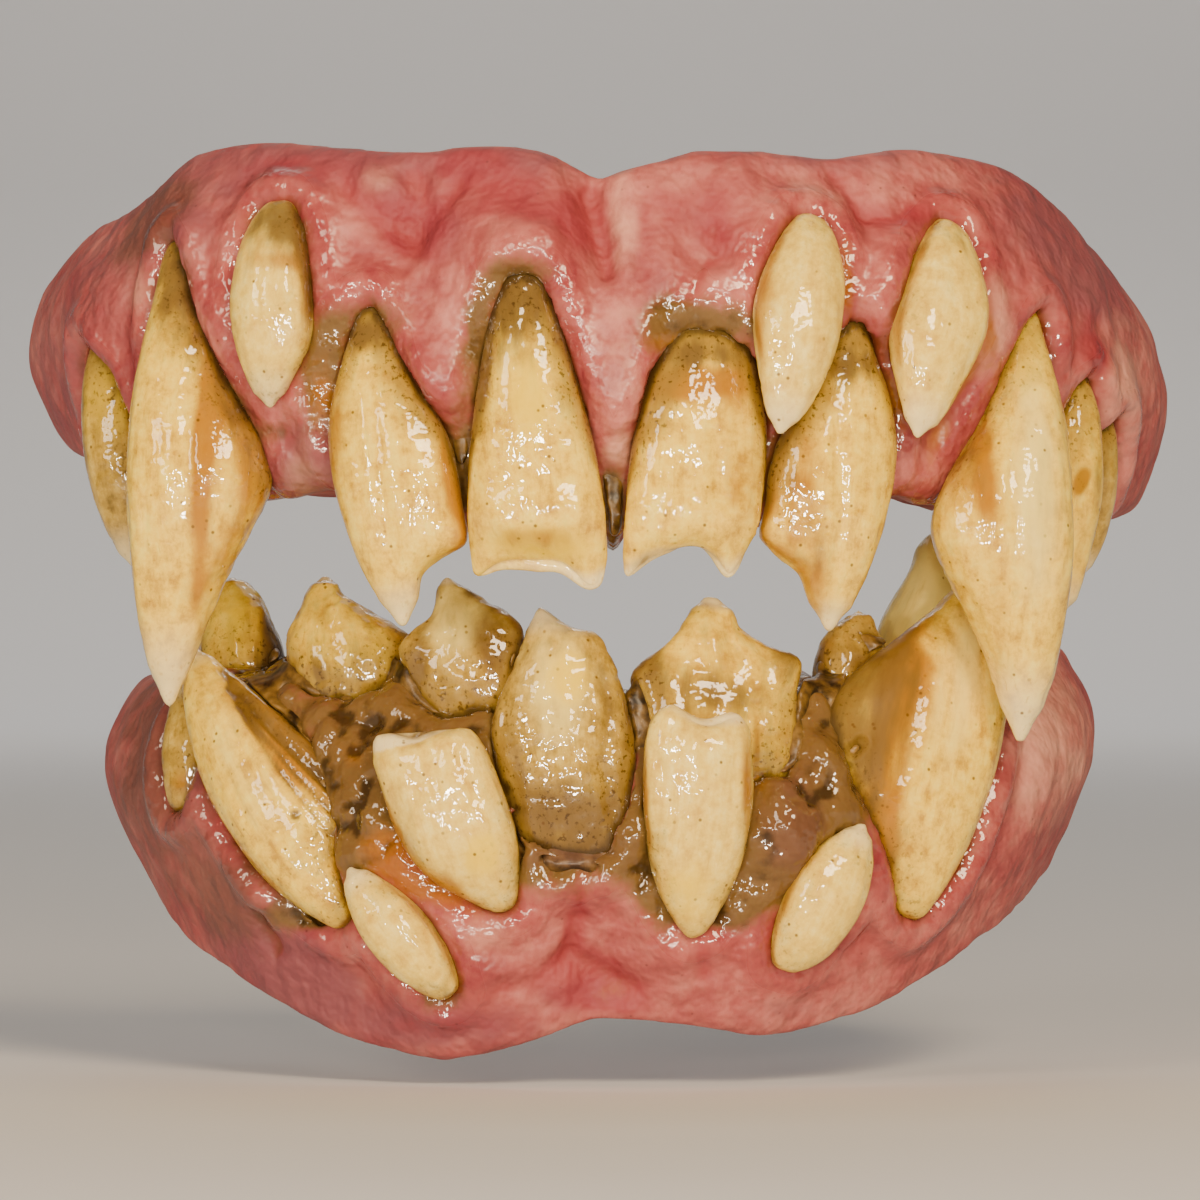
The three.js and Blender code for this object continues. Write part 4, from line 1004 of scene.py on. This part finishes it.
def gumWithStainsAndShading():
    # Pink denture acrylic, packed, tinted by hand and varnished: mottled salmon and rose with mauve edges,
    # brown stain in the crevices, painted shade in the dips and folds and a painted shadow at the top left,
    # painted light at the right end, satin far from the teeth and wet close to them.
    tint = gumTints
    material, tree, shader, inMm = newMaterial("varnishedGumAcrylic")
    tall = addNode(tree, "VectorMath", {"operation": "MULTIPLY"}, {0: inMm, 1: (1, 1, 0.7)}).outputs[0]
    fibre = noise(tree, tall, 0.9, 5, 0.7)
    blend = addNode(tree, "Mix", {}, {0: 0.66, 2: fibre, 3: noise(tree, inMm, 4.5, 3, 0.6)}).outputs[0]
    colour = threeTone(tree, blend, [(0.37, tint["rose"]), (0.5, tint["salmon"]), (0.65, tint["light"])])
    colour = layStainsAndShading(tree, colour, fibre, gumStainsAndShading)
    wire(tree, shader, {
        "Base Color": specked(tree, colour, inMm, 0.8, (0.05, 0.14), (0.55, 0.75, 0, 0.5), tint["pore"]),
        "Roughness": mapped(tree, mask(tree, "wet"), 0, 1, 0.66, 0.08),
        "Normal": rippled(tree, inMm, 1.5, 2, 0.7, 0.7),
        "IOR": 1.5,
        "Specular IOR Level": 0.55,
        "Subsurface Weight": 0.12,
        "Subsurface Radius": (1.0, 0.35, 0.25),
        "Subsurface Scale": 0.8 * metre,
    })
    return material


# deep is the colour the painted shade reaches in the dips, light the colour the painted light reaches on the
# humps and in lighter clouds.
slimeTints = {"deep": "#22180B", "brown": "#5E461E", "light": "#856630"}
slimeStains = [("amber", "#96640C", 0.9, 0.6), ("ashAndShade", "#6E5040", 0.9, 0.75)]


def driedSlime():
    # Brown casting resin, dripped and left glossy: amber where thin, painted shade near black in the dips,
    # painted light on the humps, a soft shine.
    tint = slimeTints
    material, tree, shader, inMm = newMaterial("drippedBrownResin")
    cloud = noise(tree, inMm, 1.2, 4, 0.65)
    blend = sums(tree, "MULTIPLY_ADD", (mask(tree, "dark"), -0.16, cloud))
    colour = threeTone(tree, blend, [(0.32, tint["deep"]), (0.5, tint["brown"]), (0.72, tint["light"])])
    wire(tree, shader, {
        "Base Color": layStainsAndShading(tree, colour, cloud, slimeStains),
        "Roughness": 0.32,
        "Normal": rippled(tree, inMm, 1.1, 1, 0.4, 0.35),
        "IOR": 1.52,
        "Specular IOR Level": 0.3,
        "Subsurface Weight": 0.1,
        "Subsurface Radius": (1.0, 0.6, 0.2),
        "Subsurface Scale": 0.6 * metre,
    })
    return material


gumMaterial = gumWithStainsAndShading()
slimeMaterial = driedSlime()
toothMaterials = {kind: castTooth(kind) for kind in ("ivory", "pale", "olive")}

for node, skin in skins.items():
    gum = node.split("_")[0] + "_gum"
    look = teeth[node]
    spots = skin.points.tolist()
    gap = np.array([gumTree[gum].find_nearest(point)[3] for point in spots])
    if node not in proud and "spur" not in node:
        slimeGap = np.array([slimeTree[gum].find_nearest(point)[3] for point in spots])
        gap = np.minimum(gap, 0.3 + 1.6 * slimeGap)
    uneven = 0.2 * lumps(skin.points, 1.5, 21) * ramp(5, 2, gap)
    skin.stains["neck"] = look["neck"] * ramp(look.get("reach", 3.4), 0.2, gap) + uneven
    skin.stains["root"] = look["neck"] * ramp(0.9, 0.0, gap)
    skin.stains["root"] += 0.6 * np.maximum(skin.stains["brown"] - 0.75, 0)
    grain = skin.mesh.attributes.new("grain", "FLOAT_VECTOR", "POINT")
    grain.data.foreach_set("vector", skin.grain.ravel())
    kind = look.get("kind", "ivory")
    skin.finish("visual_" + node, toothMaterials[kind], "tooth_" + kind, node)
for node, skin in gums.items():
    skin.finish("visual_" + node, gumMaterial, "gum_acrylic", node)
for gum, skin in slimes.items():
    skin.finish("visual_" + gum.replace("gum", "slime"), slimeMaterial, "gum_acrylic")
print("materials are on")
